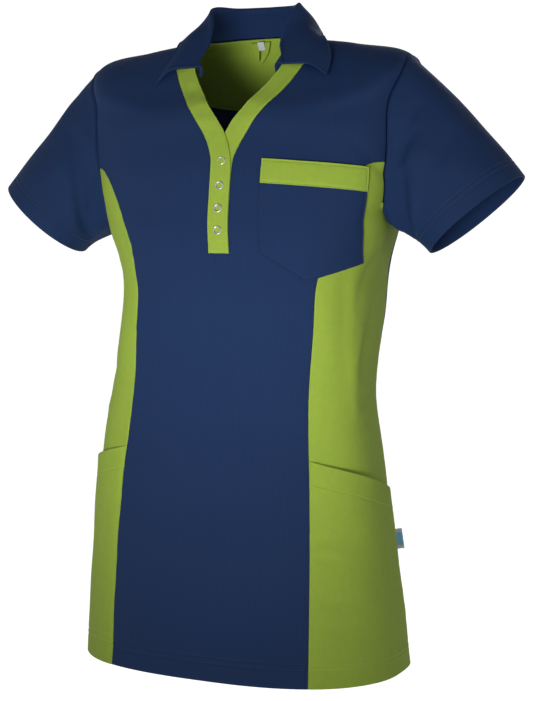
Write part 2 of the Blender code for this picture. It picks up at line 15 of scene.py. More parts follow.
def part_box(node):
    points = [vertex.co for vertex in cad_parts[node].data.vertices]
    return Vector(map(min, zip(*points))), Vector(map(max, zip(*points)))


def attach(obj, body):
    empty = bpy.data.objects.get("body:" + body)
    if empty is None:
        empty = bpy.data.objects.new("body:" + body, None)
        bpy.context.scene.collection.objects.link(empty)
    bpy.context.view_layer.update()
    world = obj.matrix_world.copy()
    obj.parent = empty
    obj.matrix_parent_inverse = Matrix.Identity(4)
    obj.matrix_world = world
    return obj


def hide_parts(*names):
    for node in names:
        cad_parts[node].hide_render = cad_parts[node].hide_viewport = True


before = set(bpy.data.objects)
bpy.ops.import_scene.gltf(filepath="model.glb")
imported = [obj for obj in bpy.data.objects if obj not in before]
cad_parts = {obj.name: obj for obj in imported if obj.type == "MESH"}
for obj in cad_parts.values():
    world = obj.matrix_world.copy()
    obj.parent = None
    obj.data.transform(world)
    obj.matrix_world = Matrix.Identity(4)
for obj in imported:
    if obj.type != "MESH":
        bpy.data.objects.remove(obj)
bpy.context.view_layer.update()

# ================================================================ the view
# The photograph is taken from the wearer's left front, level with the chest pocket's foot,
# with a long lens that is tipped a little down.
VIEW_TURN, VIEW_TIP = np.radians(21.0), np.radians(2.793)
VIEW_BACK, VIEW_SIDE, VIEW_HEIGHT = 2.014, 0.0190, -0.258
VIEW_LENS = 90.0

ahead = np.array([-np.sin(VIEW_TURN), np.cos(VIEW_TURN), 0.0])
aside = np.array([np.cos(VIEW_TURN), np.sin(VIEW_TURN), 0.0])
lens = bpy.data.cameras.new("camera")
lens.lens = VIEW_LENS
camera = bpy.data.objects.new("camera", lens)
camera.location = aside * VIEW_SIDE - ahead * VIEW_BACK + np.array([0.0, 0.0, VIEW_HEIGHT])
looking = Vector(ahead * np.cos(VIEW_TIP) - np.array([0.0, 0.0, np.sin(VIEW_TIP)]))
camera.rotation_euler = looking.to_track_quat("-Z", "Y").to_euler()
bpy.context.scene.collection.objects.link(camera)
bpy.context.scene.camera = camera
bpy.context.scene.view_settings.view_transform = "Standard"

# ================================================================ front panel
# One panel of smooth navy polyester-cotton knit. It is cut away along the V neck, slit at
# centre front for the placket, and seamed to the side panels, the sleeves and the back. Its
# foot is turned up and held by two rows of stitching.
CLOTH = 0.0012
HEM_Z = -0.708
BAND_WIDTH = 0.024

Ring = namedtuple("Ring", "side_z front_z back_z half_width front back sway tilt square brow")
RINGS = np.array([
    #    side_z  front_z  back_z  half_w   front   back    sway    tilt  square brow
    Ring(HEM_Z, HEM_Z, HEM_Z, 0.1850, 0.1450, 0.1440, -0.0010, -0.0060, 2.5, 4.0),
    Ring(-0.600, -0.600, -0.600, 0.1765, 0.1220, 0.1230, -0.0055, -0.0060, 2.6, 4.0),
    Ring(-0.500, -0.500, -0.500, 0.1665, 0.1040, 0.0900, -0.0065, -0.0060, 2.8, 4.0),
    Ring(-0.400, -0.400, -0.400, 0.1525, 0.0940, 0.0740, -0.0035, -0.0040, 3.0, 4.0),
    Ring(-0.300, -0.300, -0.300, 0.1455, 0.1080, 0.1040, 0.0070, -0.0020, 3.2, 4.0),
    Ring(-0.250, -0.250, -0.250, 0.1500, 0.1080, 0.1160, 0.0065, -0.0010, 3.2, 4.0),
    Ring(-0.210, -0.210, -0.210, 0.1640, 0.1030, 0.1210, 0.0030, 0.0, 3.2, 4.0),
    Ring(-0.160, -0.160, -0.160, 0.1760, 0.0920, 0.1200, 0.0020, 0.0, 3.4, 4.0),
    Ring(-0.110, -0.115, -0.115, 0.1850, 0.0790, 0.1150, 0.0010, 0.0, 3.4, 6.0),
    Ring(-0.068, -0.098, -0.080, 0.1870, 0.0750, 0.1080, 0.0, 0.0, 3.2, 9.0),
    Ring(-0.024, -0.087, -0.038, 0.1860, 0.0710, 0.0950, 0.0, 0.0, 3.0, 12.0),
    Ring(-0.010, -0.078, -0.008, 0.1240, 0.0680, 0.0840, 0.0, 0.0, 2.4, 8.0),
    Ring(0.000, -0.068, 0.009, 0.0640, 0.0630, 0.0720, 0.0, 0.0, 2.0, 3.0),
    Ring(0.020, -0.050, 0.028, 0.0600, 0.0560, 0.0680, 0.0, 0.0, 2.0, 2.5),
])
UNDERARM, TIP, NECK = 6.0, 10.0, 12.0

Armhole = namedtuple("Armhole", "front_sweep back_sweep seam_front seam_back")
ARMHOLE = Armhole(18.5, 17.5, 111.0, 251.0)

SeamRow = namedtuple("SeamRow", "rise half_width back_turn")
SEAMS = (
    SeamRow(0.00, 0.1165, 104.0),
    SeamRow(1.00, 0.1155, 104.0),
    SeamRow(2.00, 0.1115, 105.0),
    SeamRow(3.00, 0.1050, 106.0),
    SeamRow(4.00, 0.1050, 106.0),
    SeamRow(4.60, 0.1090, 106.0),
    SeamRow(5.10, 0.1120, 106.0),
    SeamRow(5.80, 0.1190, 106.5),
    SeamRow(6.40, 0.1310, 107.0),
    SeamRow(6.95, 0.1470, 107.5),
    SeamRow(7.22, 0.1600, 107.5),
)
BandRow = namedtuple("BandRow", "outer_x outer_z inner_x inner_z")
BAND = (
    BandRow(0.0120, -0.246, -0.0120, -0.246),
    BandRow(0.0120, -0.218, -0.0120, -0.218),
    BandRow(0.0120, -0.190, -0.0120, -0.190),
    BandRow(0.0120, -0.163, -0.0120, -0.163),
    BandRow(0.0128, -0.143, -0.0108, -0.143),
    BandRow(0.0175, -0.128, -0.0055, -0.125),
    BandRow(0.0235, -0.116, 0.0010, -0.110),
    BandRow(0.0315, -0.103, 0.0085, -0.098),
    BandRow(0.0420, -0.0885, 0.0180, -0.086),
    BandRow(0.0550, -0.0720, 0.0295, -0.071),
    BandRow(0.0660, -0.0560, 0.0415, -0.055),
    BandRow(0.0750, -0.0390, 0.0500, -0.0410),
)


def between(table, place):
    """Rows of a table at fractional row numbers, on a smooth curve through the rows."""
    table = np.asarray(table, float)
    place = np.clip(np.asarray(place, float), 0.0, len(table) - 1)
    low = np.minimum(place.astype(int), len(table) - 2)
    part = (place - low)[..., None]
    padded = np.vstack([2 * table[0] - table[1], table, 2 * table[-1] - table[-2]])
    a, b, c, d = (padded[low + k] for k in range(4))
    return b + 0.5 * part * (c - a + part * (2 * a - 5 * b + 4 * c - d + part * (3 * (b - c) + d - a)))


def reach(turn, ring):
    """Distance from a ring's middle to its edge, on a squared-off ellipse."""
    depth = (ring[..., 4] + ring[..., 5]) / 2
    across = np.abs(np.sin(np.radians(turn))) / ring[..., 3]
    along = np.abs(np.cos(np.radians(turn))) / depth
    square = ring[..., 8]
    return (across ** square + along ** square) ** (-1.0 / square)


def form(turn, rise):
    """Points of the smooth figure that the cloth is laid over."""
    turn, rise = np.broadcast_arrays(np.asarray(turn, float), np.asarray(rise, float))
    ring = between(RINGS, rise)
    sin, cos = np.sin(np.radians(turn)), np.cos(np.radians(turn))
    far = reach(turn, ring)
    end_z = np.where(cos > 0, ring[..., 1], ring[..., 2])
    z = ring[..., 0] + (end_z - ring[..., 0]) * (1 - np.abs(sin) ** ring[..., 9])
    z = z + ring[..., 7] * sin
    middle = (ring[..., 5] - ring[..., 4]) / 2
    return np.stack([ring[..., 6] + far * sin, middle - far * cos, z], -1)


def unit(vectors):
    return vectors / np.linalg.norm(vectors, axis=-1, keepdims=True)


def outward(turn, rise):
    """The form's own normal."""
    round_it = form(np.asarray(turn) + 0.3, rise) - form(np.asarray(turn) - 0.3, rise)
    up_it = form(turn, np.asarray(rise) + 0.02) - form(turn, np.asarray(rise) - 0.02)
    return unit(np.cross(round_it, up_it))


def turn_at(half_width, rise):
    """Turn of the front point that lies half_width to the left of centre front."""
    half_width, rise = np.broadcast_arrays(np.asarray(half_width, float), np.asarray(rise, float))
    ring = between(RINGS, rise)
    low, high = np.full(rise.shape, -70.0), np.full(rise.shape, 88.0)
    for _ in range(40):
        middle = (low + high) / 2
        short = reach(middle, ring) * np.sin(np.radians(middle)) < half_width
        low, high = np.where(short, middle, low), np.where(short, high, middle)
    return low


def spot(x, z):
    """Turn and rise of the front point with this x (from the centre line) and height."""
    low, high = 0.0, float(len(RINGS) - 1)
    for _ in range(40):
        rise = (low + high) / 2
        at = form(turn_at(x, rise), rise)
        low, high = (rise, high) if at[2] < z else (low, rise)
    return float(turn_at(x, low)), low


def armhole(angle):
    """Turn and rise round the armhole; 0 is the shoulder tip, 90 its front, 180 under the arm."""
    sin, cos = np.sin(np.radians(angle)), np.cos(np.radians(angle))
    sweep = np.where(sin > 0, ARMHOLE.front_sweep, ARMHOLE.back_sweep)
    fullness = 0.8 + 0.25 * cos
    turn = 90.0 - sweep * np.sign(sin) * np.abs(sin) ** fullness
    rise = (TIP + UNDERARM) / 2 + (TIP - UNDERARM) / 2 * cos
    return np.stack([turn, rise], -1)


FRONT_LINE = np.array([(float(turn_at(row.half_width, row.rise)), row.rise) for row in SEAMS]
                      + [tuple(armhole(ARMHOLE.seam_front))])


def band_edge(corners, ends):
    """Four places a row along a band's edge: through these x, z corners, then these ends."""
    along = between(corners, np.arange(0, len(corners) - 0.99, 0.25))
    along = np.array([spot(x, z) for x, z in along])
    past = between(np.vstack([along[-5], along[-1], ends]), np.arange(1.25, 3.01, 0.25))
    return np.vstack([along, past])


BAND_OUTER = band_edge([(row.outer_x, row.outer_z) for row in BAND], [(84.0, 11.62), (90.0, 11.74)])
SEAM_TOP, PLACKET_FOOT = 11.0, 6.0     # levels where the side seams end and the placket starts
LAST_LEVEL = 20.0                      # the armhole takes the levels from SEAM_TOP up to here
BAND_JOINED, BAND_LAST = 5.0, 13.0     # band rows that are level with those two

# Each crease is a path over the form, its height (a trough is below zero), and how wide it
# is on either side. Those of the wearer's left are seen in the photograph, those of the far
# right are alike, and the back has none but the slow waves that all the cloth has.
Crease = namedtuple("Crease", "path lift near far")
BODY_CREASES = (
    Crease(((84, 6.75), (76, 6.95), (67, 7.25), (60, 7.75)), -0.0022, 0.007, 0.010),
    Crease(((86, 6.35), (78, 6.25), (69, 6.10), (64, 5.70)), -0.0030, 0.009, 0.012),
    Crease(((88, 5.90), (80, 5.35), (71, 4.95), (63, 4.60)), 0.0024, 0.009, 0.013),
    Crease(((86, 5.40), (78, 4.90), (72, 4.40), (69, 3.90)), -0.0020, 0.010, 0.008),
    Crease(((60, 4.70), (61, 4.20), (65, 3.60), (69, 3.10)), -0.0022, 0.010, 0.014),
    Crease(((77, 3.75), (74, 3.35), (74.5, 3.05), (76, 2.70)), 0.0020, 0.010, 0.009),
    Crease(((92, 4.40), (84, 3.90), (80, 3.50), (79, 3.10)), -0.0018, 0.011, 0.009),
    Crease(((98, 3.30), (90, 3.05), (82, 2.95), (74, 3.00)), -0.0016, 0.008, 0.011),
    Crease(((96, 2.75), (88, 2.60), (80, 2.65)), 0.0014, 0.010, 0.008),
    Crease(((50, 1.52), (56, 1.47), (64, 1.50), (71, 1.58)), -0.0020, 0.006, 0.008),
    Crease(((50, 1.30), (55, 1.27), (61, 1.26)), -0.0020, 0.006, 0.007),
    Crease(((50, 0.86), (57, 0.84), (66, 0.90)), -0.0019, 0.006, 0.008),
    Crease(((51, 0.55), (58, 0.57), (64, 0.62)), -0.0017, 0.006, 0.007),
    Crease(((-49, 2.55), (-38, 2.42), (-24, 2.20), (-12, 2.05)), -0.0012, 0.011, 0.016),
    Crease(((-50, 2.20), (-40, 2.02), (-28, 1.78), (-20, 1.60)), 0.0010, 0.012, 0.016),
    Crease(((-52, 1.85), (-44, 1.66), (-33, 1.45)), -0.0009, 0.010, 0.014),
    Crease(((47, 2.90), (36, 2.72), (24, 2.60)), -0.0009, 0.012, 0.016),
    Crease(((47, 2.35), (38, 2.10), (26, 1.90), (14, 1.82)), -0.0010, 0.013, 0.017),
    Crease(((-62, 7.20), (-52, 6.75), (-40, 6.30), (-30, 6.05)), -0.0012, 0.012, 0.018),
    Crease(((-70, 6.70), (-62, 6.10), (-54, 5.60), (-49, 5.10)), -0.0020, 0.009, 0.013),
    Crease(((-84, 6.30), (-75, 5.85), (-68, 5.30), (-64, 4.70)), 0.0022, 0.010, 0.013),
    Crease(((-88, 5.70), (-80, 5.10), (-74, 4.50), (-71, 3.90)), -0.0020, 0.010, 0.012),
    Crease(((-97, 3.60), (-88, 3.35), (-78, 3.20), (-68, 3.25)), -0.0017, 0.010, 0.012),
    Crease(((-92, 2.90), (-82, 2.75), (-72, 2.78)), 0.0013, 0.010, 0.009),
    Crease(((26, 8.90), (40, 8.45), (55, 8.15), (66, 8.05)), 0.0014, 0.015, 0.018),
    Crease(((-24, 8.95), (-38, 8.50), (-54, 8.25), (-64, 8.20)), 0.0014, 0.015, 0.018),
    Crease(((70, 9.30), (62, 9.05), (52, 8.95), (42, 9.10)), -0.0012, 0.012, 0.016),
    Crease(((-70, 9.30), (-61, 9.10), (-50, 8.98)), -0.0012, 0.012, 0.016),
    Crease(((-14, 4.85), (-16, 4.25), (-15, 3.55)), -0.0008, 0.016, 0.022),
    Crease(((20, 4.10), (16, 3.45), (17, 2.75)), 0.0009, 0.018, 0.022),
)


def nearest(points, line):
    """How far each point is from a line of points, how far along it, and on which side."""
    start, step = line[:-1], np.diff(line, axis=0)
    gap = points[:, None] - start
    part = np.clip(np.sum(gap * step, -1) / np.sum(step * step, -1), 0, 1)
    gap = gap - part[..., None] * step
    far = np.sum(gap * gap, -1)
    best = far.argmin(1)
    row = np.arange(len(points))
    side = np.cross(step[best], gap[row, best])
    return np.sqrt(far[row, best]), (best + part[row, best]) / len(step), side


def relief(points, facing, creases, lines):
    """How far the creases lift the cloth at each point; facing is the way that it faces."""
    flat, up = points.reshape(-1, 3), facing.reshape(-1, 3)
    total = np.zeros(len(flat))
    for crease, line in zip(creases, lines):
        room = 3 * max(crease.near, crease.far)
        close = np.all((flat > line.min(0) - room) & (flat < line.max(0) + room), axis=1)
        if not close.any():
            continue
        far, along, side = nearest(flat[close], line)
        width = np.where(np.sum(side * up[close], -1) > 0, crease.near, crease.far)
        taper = np.sin(np.pi * np.clip(along, 0, 1)) ** 0.7
        total[close] += crease.lift * taper * np.exp(-(far / width / (0.65 + 0.35 * taper)) ** 2)
    return total.reshape(points.shape[:-1])


def drift(points):
    """Slow, shallow waves that keep a wide panel from lying too smooth."""
    waves = np.random.default_rng(11)
    total = np.zeros(points.shape[:-1])
    for _ in range(9):
        way = unit(waves.normal(size=3)) * 2 * np.pi / waves.uniform(0.055, 0.150)
        total += np.sin(points @ way + waves.uniform(0, 2 * np.pi))
    return total * 0.00022


def ripple(points):
    """Short waves for the pucker that stitching draws up along a seam; about -1 to 1."""
    waves = np.random.default_rng(23)
    total = np.zeros(points.shape[:-1])
    for _ in range(6):
        way = unit(waves.normal(size=3)) * 2 * np.pi / waves.uniform(0.006, 0.014)
        total += np.sin(points @ way + waves.uniform(0, 2 * np.pi))
    return total / 2.4


BODY_LINES = [form(*between(np.array(crease.path, float),
                            np.linspace(0, len(crease.path) - 1, 14)).T) for crease in BODY_CREASES]


def laid(places, out=0.0):
    """Points of cloth that lies on the form, creases and all, this far out."""
    turn, rise = places[..., 0], places[..., 1]
    base, facing = form(turn, rise), outward(turn, rise)
    lift = relief(base, facing, BODY_CREASES, BODY_LINES) + drift(base) + out
    return base + facing * lift[..., None]


def faces_way(points, tube=False):
    """The way that each point of a grid of cloth faces."""
    along = np.gradient(points, axis=0)
    across = np.gradient(points, axis=1)
    if tube:
        across = np.roll(points, -1, axis=1) - np.roll(points, 1, axis=1)
    return unit(np.cross(across, along))


EDGE_STEPS = np.array([0.00006, 0.0002, 0.0004, 0.0007, 0.0011, 0.0016, 0.0022, 0.0030, 0.0040])
HEM_LINES = (0.0200, 0.0262)           # the two rows of stitching, above the hem's fold
HEM_DEEP, HEM_PLY = 0.0275, 0.95       # how deep the hem is turned up, and what that adds
HEM_STEPS = np.array([0.00006, 0.0002, 0.0004, 0.0007, 0.0011, 0.0018, 0.0040, 0.0075, 0.0115, 0.0155,
                      0.0180, 0.0190, 0.0195, 0.0200, 0.0205, 0.0210, 0.0222, 0.0240, 0.0252,
                      0.0257, 0.0262, 0.0267, 0.0272, 0.0282, 0.0300])


def steps(length, count, start=EDGE_STEPS, end=EDGE_STEPS):
    """Distances along a length: count even steps, with small ones at each end."""
    length = np.asarray(length, float)[..., None]
    middle = start[-1] + (length - start[-1] - end[-1]) * np.linspace(0, 1, count + 1)
    return np.concatenate([start[:-1] + 0 * length, middle, length - end[-2::-1]], -1)


def run_of(points, axis):
    """Length run along an axis of a grid of points, from its start."""
    step = np.linalg.norm(np.diff(points, axis=axis), axis=-1)
    start = np.zeros_like(np.take(step, [0], axis=axis))
    return np.concatenate([start, np.cumsum(step, axis=axis)], axis=axis)


def margins(face):
    """How far along the cloth each point of a grid is from its start, end, foot and top."""
    return (run_of(face, 1), run_of(face[:, ::-1], 1)[:, ::-1],
            run_of(face, 0), run_of(face[::-1], 0)[::-1])


def levels_of(guide, last, count, start=HEM_STEPS, end=EDGE_STEPS):
    """Level numbers whose rows are count even steps apart on a guide line of the form."""
    dense = np.linspace(0, last, 600)
    length = run_of(form(*guide(dense).T), 0)
    return np.interp(steps(length[-1], count, start, end), length, dense)


def mixed(left, right, part):
    """Rows of places that lie at these parts of the way between two edges."""
    return left[:, None] * (1 - part[..., None]) + right[:, None] * part[..., None]


def shares(left, right, count, start=EDGE_STEPS, end=EDGE_STEPS):
    """Parts of the way between two edges: even steps, with small ones near both."""
    rough = mixed(left, right, np.linspace(0, 1, 25)[None])
    width = run_of(form(rough[..., 0], rough[..., 1]), 1)[:, -1]
    return steps(width, count, start, end) / width[:, None]


def seam_sink(gap, depth=0.0006, reach_in=0.0016):
    """How far cloth is drawn in where it runs down into a seam."""
    return depth * np.clip(1 - gap / reach_in, 0, 1) ** 1.6


def fold_sink(gap, half):
    """How far a face falls away towards a folded edge of cloth of this half thickness."""
    part = 0.97 * np.clip(1 - gap / half, 0, 1)
    return half * (1 - np.sqrt(1 - part * part))


def groove(gap, at, depth=0.0005, half=0.0008):
    """The dent along a row of stitching that runs at this distance from an edge."""
    return depth * np.exp(-((gap - at) / half) ** 2)


def turned(gap, deep):
    """1 where cloth is turned in double this deep from its edge, and 0 past that."""
    return 1 / (1 + np.exp((gap - deep) / 0.0003))


def pucker(points, gap, size=0.00020, wide=0.006):
    """The small waves beside a seam or a row of stitching."""
    return size * ripple(points) * np.exp(-(gap / wide) ** 2)


def hemmed(face, side_gap, low, high):
    """How far out a panel's two faces lie: drawn in at its seams, and turned up at its foot."""
    outer = pucker(face, side_gap) - seam_sink(side_gap) - seam_sink(high) - fold_sink(low, CLOTH)
    outer = outer - sum(groove(low, line) for line in HEM_LINES)
    return outer, fold_sink(low, CLOTH) - CLOTH * (1 + HEM_PLY * turned(low, HEM_DEEP))


def row_at(gap, line):
    """The row of a grid that lies nearest to this distance from an edge."""
    return int(np.argmin(np.abs(gap - line)))


def seats_on(face, out, tube=False):
    """Where stitches sit on cloth whose surface lies this far out, and the way it faces."""
    facing = faces_way(face, tube)
    return face + facing * out[..., None], facing


def built(name, bm, mesh=None):
    """An object with this mesh, smooth shaded and in the scene."""
    mesh = mesh or bpy.data.meshes.new(name)
    bm.to_mesh(mesh)
    bm.free()
    mesh.shade_smooth()
    piece = bpy.data.objects.new(name, mesh)
    bpy.context.scene.collection.objects.link(piece)
    return piece


def wall(name, face, outer, inner, centre, tube=False, gap=None):
    """Cloth from a grid that is pulled out into a wall and bent to its place.

    outer and inner say how far out the two faces lie from the points of face. The UV map
    holds the distances across and along the grain from the centre column, in metres.
    """
    rows, columns = face.shape[:2]
    bm = bmesh.new()
    bmesh.ops.create_grid(bm, x_segments=columns - 1 + tube, y_segments=rows - 1, size=0.5)
    place = bm.verts.layers.int.new("place")
    for vert in bm.verts:
        row = round((vert.co.y + 0.5) * (rows - 1))
        column = round((vert.co.x + 0.5) * (columns - 1 + tube)) % columns
        vert[place] = row * columns + column
        if tube:
            turn = 2 * np.pi * (vert.co.x + 0.5)
            vert.co = (np.cos(turn), np.sin(turn), vert.co.y)
    if tube:
        bmesh.ops.remove_doubles(bm, verts=bm.verts, dist=1e-5)
    if gap:
        cut = [side for side in bm.faces if gap([divmod(v[place], columns) for v in side.verts])]
        bmesh.ops.delete(bm, geom=cut, context="FACES")
    lining = bm.verts.layers.int.new("lining")
    pulled = bmesh.ops.extrude_face_region(bm, geom=bm.faces[:])["geom"]
    for vert in pulled:
        if isinstance(vert, bmesh.types.BMVert):
            vert[lining] = 1
    mesh = bpy.data.meshes.new(name)
    bm.to_mesh(mesh)
    bm.free()
    at = np.zeros(len(mesh.vertices), int)
    under = np.zeros(len(mesh.vertices), int)
    mesh.attributes["place"].data.foreach_get("value", at)
    mesh.attributes["lining"].data.foreach_get("value", under)
    facing = faces_way(face, tube)
    out = np.where(under, np.broadcast_to(inner, (rows, columns)).ravel()[at],
                   np.broadcast_to(outer, (rows, columns)).ravel()[at])
    points = face.reshape(-1, 3)[at] + facing.reshape(-1, 3)[at] * out[:, None]
    mesh.vertices.foreach_set("co", points.ravel())
    for layer in ("place", "lining"):
        mesh.attributes.remove(mesh.attributes[layer])
    u = run_of(face, 1)
    u = u - u[:, centre, None]
    v = np.broadcast_to(run_of(face[:, [centre]], 0), u.shape)
    corner = np.zeros(len(mesh.loops), int)
    mesh.loops.foreach_get("vertex_index", corner)
    corner = at[corner]
    grain = np.stack([u.ravel()[corner], v.ravel()[corner]], -1)
    if tube:
        column = (corner % columns).reshape(-1, 4)
        wraps = (column == 0) & (column.max(1, keepdims=True) > columns / 2)
        girth = u.max(1) - u.min(1)
        grain[:, 0] += wraps.ravel() * girth[corner // columns]
    mesh.uv_layers.new(name="grain").data.foreach_set("uv", grain.ravel())
    mesh.update()
    bm = bmesh.new()
    bm.from_mesh(mesh)
    bmesh.ops.recalc_face_normals(bm, faces=bm.faces)
    if bm.calc_volume(signed=True) < 0:
        bmesh.ops.reverse_faces(bm, faces=bm.faces)
    return built(name, bm, mesh)


PITCH, THREAD = 0.0030, 0.00026        # a stitch and its gap; half the thread's width
STITCH_ENDS, STITCH_OUT = (0.12, 0.88), 0.00008


def stitching(name, runs, thread):
    """Rows of stitches, each one a slim bead of thread. A run is points and their facing."""
    bm = bmesh.new()
    for line, facing in runs:
        run = run_of(line[:, None], 0)[:, 0]
        count = max(1, int(round(run[-1] / PITCH)))
        pitch = run[-1] / count
        for number in range(count):
            ends = [np.array([np.interp((number + share) * pitch, run, line[:, k]) for k in range(3)])
                    for share in STITCH_ENDS]
            out = Vector([np.interp((number + 0.5) * pitch, run, facing[:, k]) for k in range(3)])
            along = Vector(ends[1] - ends[0])
            side = along.cross(out).normalized()
            middle = Vector(ends[0] + ends[1]) / 2 + out * STITCH_OUT
            axes = Matrix((side * THREAD, out * THREAD, along / 2)).transposed().to_4x4()
            bmesh.ops.create_uvsphere(bm, u_segments=6, v_segments=4, radius=1.0,
                                      matrix=Matrix.Translation(middle) @ axes)
    bmesh.ops.recalc_face_normals(bm, faces=bm.faces)
    piece = built(name, bm)
    piece.data.materials.append(thread)
    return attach(piece, "root")


def node(tree, kind, inputs=None, **settings):
    """A shader node with its settings, and its inputs set or linked."""
    made = tree.nodes.new(kind)
    for key, value in settings.items():
        setattr(made, key, value)
    for key, value in (inputs or {}).items():
        if isinstance(value, bpy.types.NodeSocket):
            tree.links.new(value, made.inputs[key])
        else:
            made.inputs[key].default_value = value
    return made


def sums(tree, operation, *values):
    """A Math node's result, from numbers or sockets."""
    return node(tree, "ShaderNodeMath", dict(enumerate(values)), operation=operation).outputs[0]


def group(name, inputs, outputs):
    """An empty node group with these sockets, and its input and output node."""
    tree = bpy.data.node_groups.new(name, "ShaderNodeTree")
    for key, kind in inputs.items():
        tree.interface.new_socket(key, in_out="INPUT", socket_type=kind)
    for key in outputs:
        tree.interface.new_socket(key, in_out="OUTPUT", socket_type="NodeSocketFloat")
    return tree, tree.nodes.new("NodeGroupInput"), tree.nodes.new("NodeGroupOutput")


RIB_PITCH = 0.00336

# The knit: fine upright wales of slanting loops, a little uneven. Loops gives their height, and the cloth
# also uses it to darken the loops' low feet as painted shade.
knit, given, gives = group("knit_loops", {"Grain": "NodeSocketVector", "Wale": "NodeSocketFloat"},
                           ("Loops", "Haze", "Ribs"))
split = node(knit, "ShaderNodeSeparateXYZ", {0: given.outputs["Grain"]})
wobble = node(knit, "ShaderNodeTexNoise", {"Vector": given.outputs["Grain"], "Scale": 90.0, "Detail": 2.0})
wale = sums(knit, "DIVIDE", split.outputs["X"], given.outputs["Wale"])
wale = sums(knit, "MULTIPLY_ADD", wobble.outputs["Fac"], 0.9, wale)
leg = sums(knit, "PINGPONG", wale, 0.5)
course = sums(knit, "DIVIDE", split.outputs["Y"], given.outputs["Wale"])
slanted = sums(knit, "MULTIPLY_ADD", leg, 1.1, sums(knit, "MULTIPLY", course, 1.15))
loop = sums(knit, "MULTIPLY_ADD", sums(knit, "SINE", sums(knit, "MULTIPLY", slanted, 2 * np.pi)), 0.22, 0.3)
round_leg = sums(knit, "SINE", sums(knit, "MULTIPLY", leg, 2 * np.pi))
knit.links.new(sums(knit, "MULTIPLY_ADD", round_leg, 0.5, loop), gives.inputs["Loops"])
streaks = node(knit, "ShaderNodeMapping", {"Vector": given.outputs["Grain"], "Scale": (1.0, 0.035, 1.0)})
haze = node(knit, "ShaderNodeTexNoise",
            {"Vector": streaks.outputs[0], "Scale": 330.0, "Detail": 1.5, "Roughness": 0.6})
knit.links.new(haze.outputs["Fac"], gives.inputs["Haze"])
bent = sums(knit, "MULTIPLY_ADD", wobble.outputs["Fac"], 0.0009, split.outputs["X"])
rib = sums(knit, "SINE", sums(knit, "MULTIPLY", bent, 2 * np.pi / RIB_PITCH))
patchy = node(knit, "ShaderNodeTexNoise", {"Vector": given.outputs["Grain"], "Scale": 28.0, "Detail": 1.0})
knit.links.new(sums(knit, "MULTIPLY", rib, patchy.outputs["Fac"]), gives.inputs["Ribs"])

# The cloth's grain: soft mottling from the dye and the press, and a fine fleck of fibre.
grain_group, given, gives = group("fibre_grain", {"Grain": "NodeSocketVector"}, ("Mottle", "Fleck"))
mottle = node(grain_group, "ShaderNodeTexNoise",
              {"Vector": given.outputs["Grain"], "Scale": 120.0, "Detail": 3.0, "Roughness": 0.55})
fleck = node(grain_group, "ShaderNodeTexNoise",
             {"Vector": given.outputs["Grain"], "Scale": 900.0, "Detail": 2.0, "Roughness": 0.7})
grain_group.links.new(mottle.outputs["Fac"], gives.inputs["Mottle"])
grain_group.links.new(fleck.outputs["Fac"], gives.inputs["Fleck"])


# Painted shade: the low foot of each knit loop is darkened in the colour, as if its neighbours shadowed it.
LOOP_PAINTED_SHADE = 0.16                      # how much darker a loop's foot is than its crown


def blank(name):
    """A new material, with its node tree and its surface shader."""
    made = bpy.data.materials.new(name)
    made.use_nodes = True
    return made, made.node_tree, made.node_tree.nodes["Principled BSDF"]


def surfaced(tree, shader, colour, shade, rough, height, strength, distance):
    """Shades a colour, and gives the surface its roughness and its small relief."""
    tint = node(tree, "ShaderNodeVectorMath", {0: colour, "Scale": shade}, operation="SCALE")
    tree.links.new(tint.outputs[0], shader.inputs["Base Color"])
    tree.links.new(rough, shader.inputs["Roughness"])
    raised = node(tree, "ShaderNodeBump", {"Height": height, "Strength": strength, "Distance": distance})
    tree.links.new(raised.outputs[0], shader.inputs["Normal"])


def cloth_finish(name, colour, wale, haze, mottle, sheen, rough, bump, rib=0.0):
    """Knitted cloth: its colour varies with the grain, its loops stand up a little, and their feet are
    darkened with painted shade.
    """
    made, tree, shader = blank(name)
    shader.inputs["Specular IOR Level"].default_value = 0.12
    shader.inputs["Sheen Weight"].default_value = sheen
    shader.inputs["Sheen Roughness"].default_value = 0.45
    shader.inputs["Sheen Tint"].default_value = [min(1.0, 4 * value + 0.1) for value in colour] + [1.0]
    grain = node(tree, "ShaderNodeUVMap", uv_map="grain").outputs["UV"]
    loops = node(tree, "ShaderNodeGroup", node_tree=knit)
    tree.links.new(grain, loops.inputs["Grain"])
    loops.inputs["Wale"].default_value = wale
    fibre = node(tree, "ShaderNodeGroup", node_tree=grain_group)
    tree.links.new(grain, fibre.inputs["Grain"])
    shade = sums(tree, "MULTIPLY_ADD", loops.outputs["Ribs"], rib, 1.0)
    # Haze, mottle and fleck vary the cloth's own tone; the loops' term is painted shade at the loops' feet.
    for value, amount in ((loops.outputs["Haze"], haze), (fibre.outputs["Mottle"], mottle),
                          (fibre.outputs["Fleck"], mottle), (loops.outputs["Loops"], LOOP_PAINTED_SHADE)):
        darker = sums(tree, "MULTIPLY_ADD", value, amount, 1.0 - amount / 2)
        shade = sums(tree, "MULTIPLY", shade, darker)
    worn = sums(tree, "MULTIPLY_ADD", fibre.outputs["Mottle"], 0.16, rough - 0.08)
    height = sums(tree, "MULTIPLY_ADD", fibre.outputs["Fleck"], 0.5, loops.outputs["Loops"])
    surfaced(tree, shader, colour, shade, worn, height, bump, 0.00025)
    return made


def thread_finish(name, colour):
    """Spun polyester thread: a soft gloss, and a twist along each stitch."""
    made, tree, shader = blank(name)
    shader.inputs["Sheen Weight"].default_value = 0.2
    seat = node(tree, "ShaderNodeTexCoord").outputs["Object"]
    twist = node(tree, "ShaderNodeTexNoise", {"Vector": seat, "Scale": 1500.0, "Detail": 2.0}).outputs["Fac"]
    surfaced(tree, shader, colour, sums(tree, "MULTIPLY_ADD", twist, 0.5, 0.75),
             sums(tree, "MULTIPLY_ADD", twist, 0.2, 0.5), twist, 0.5, 0.0001)
    return made


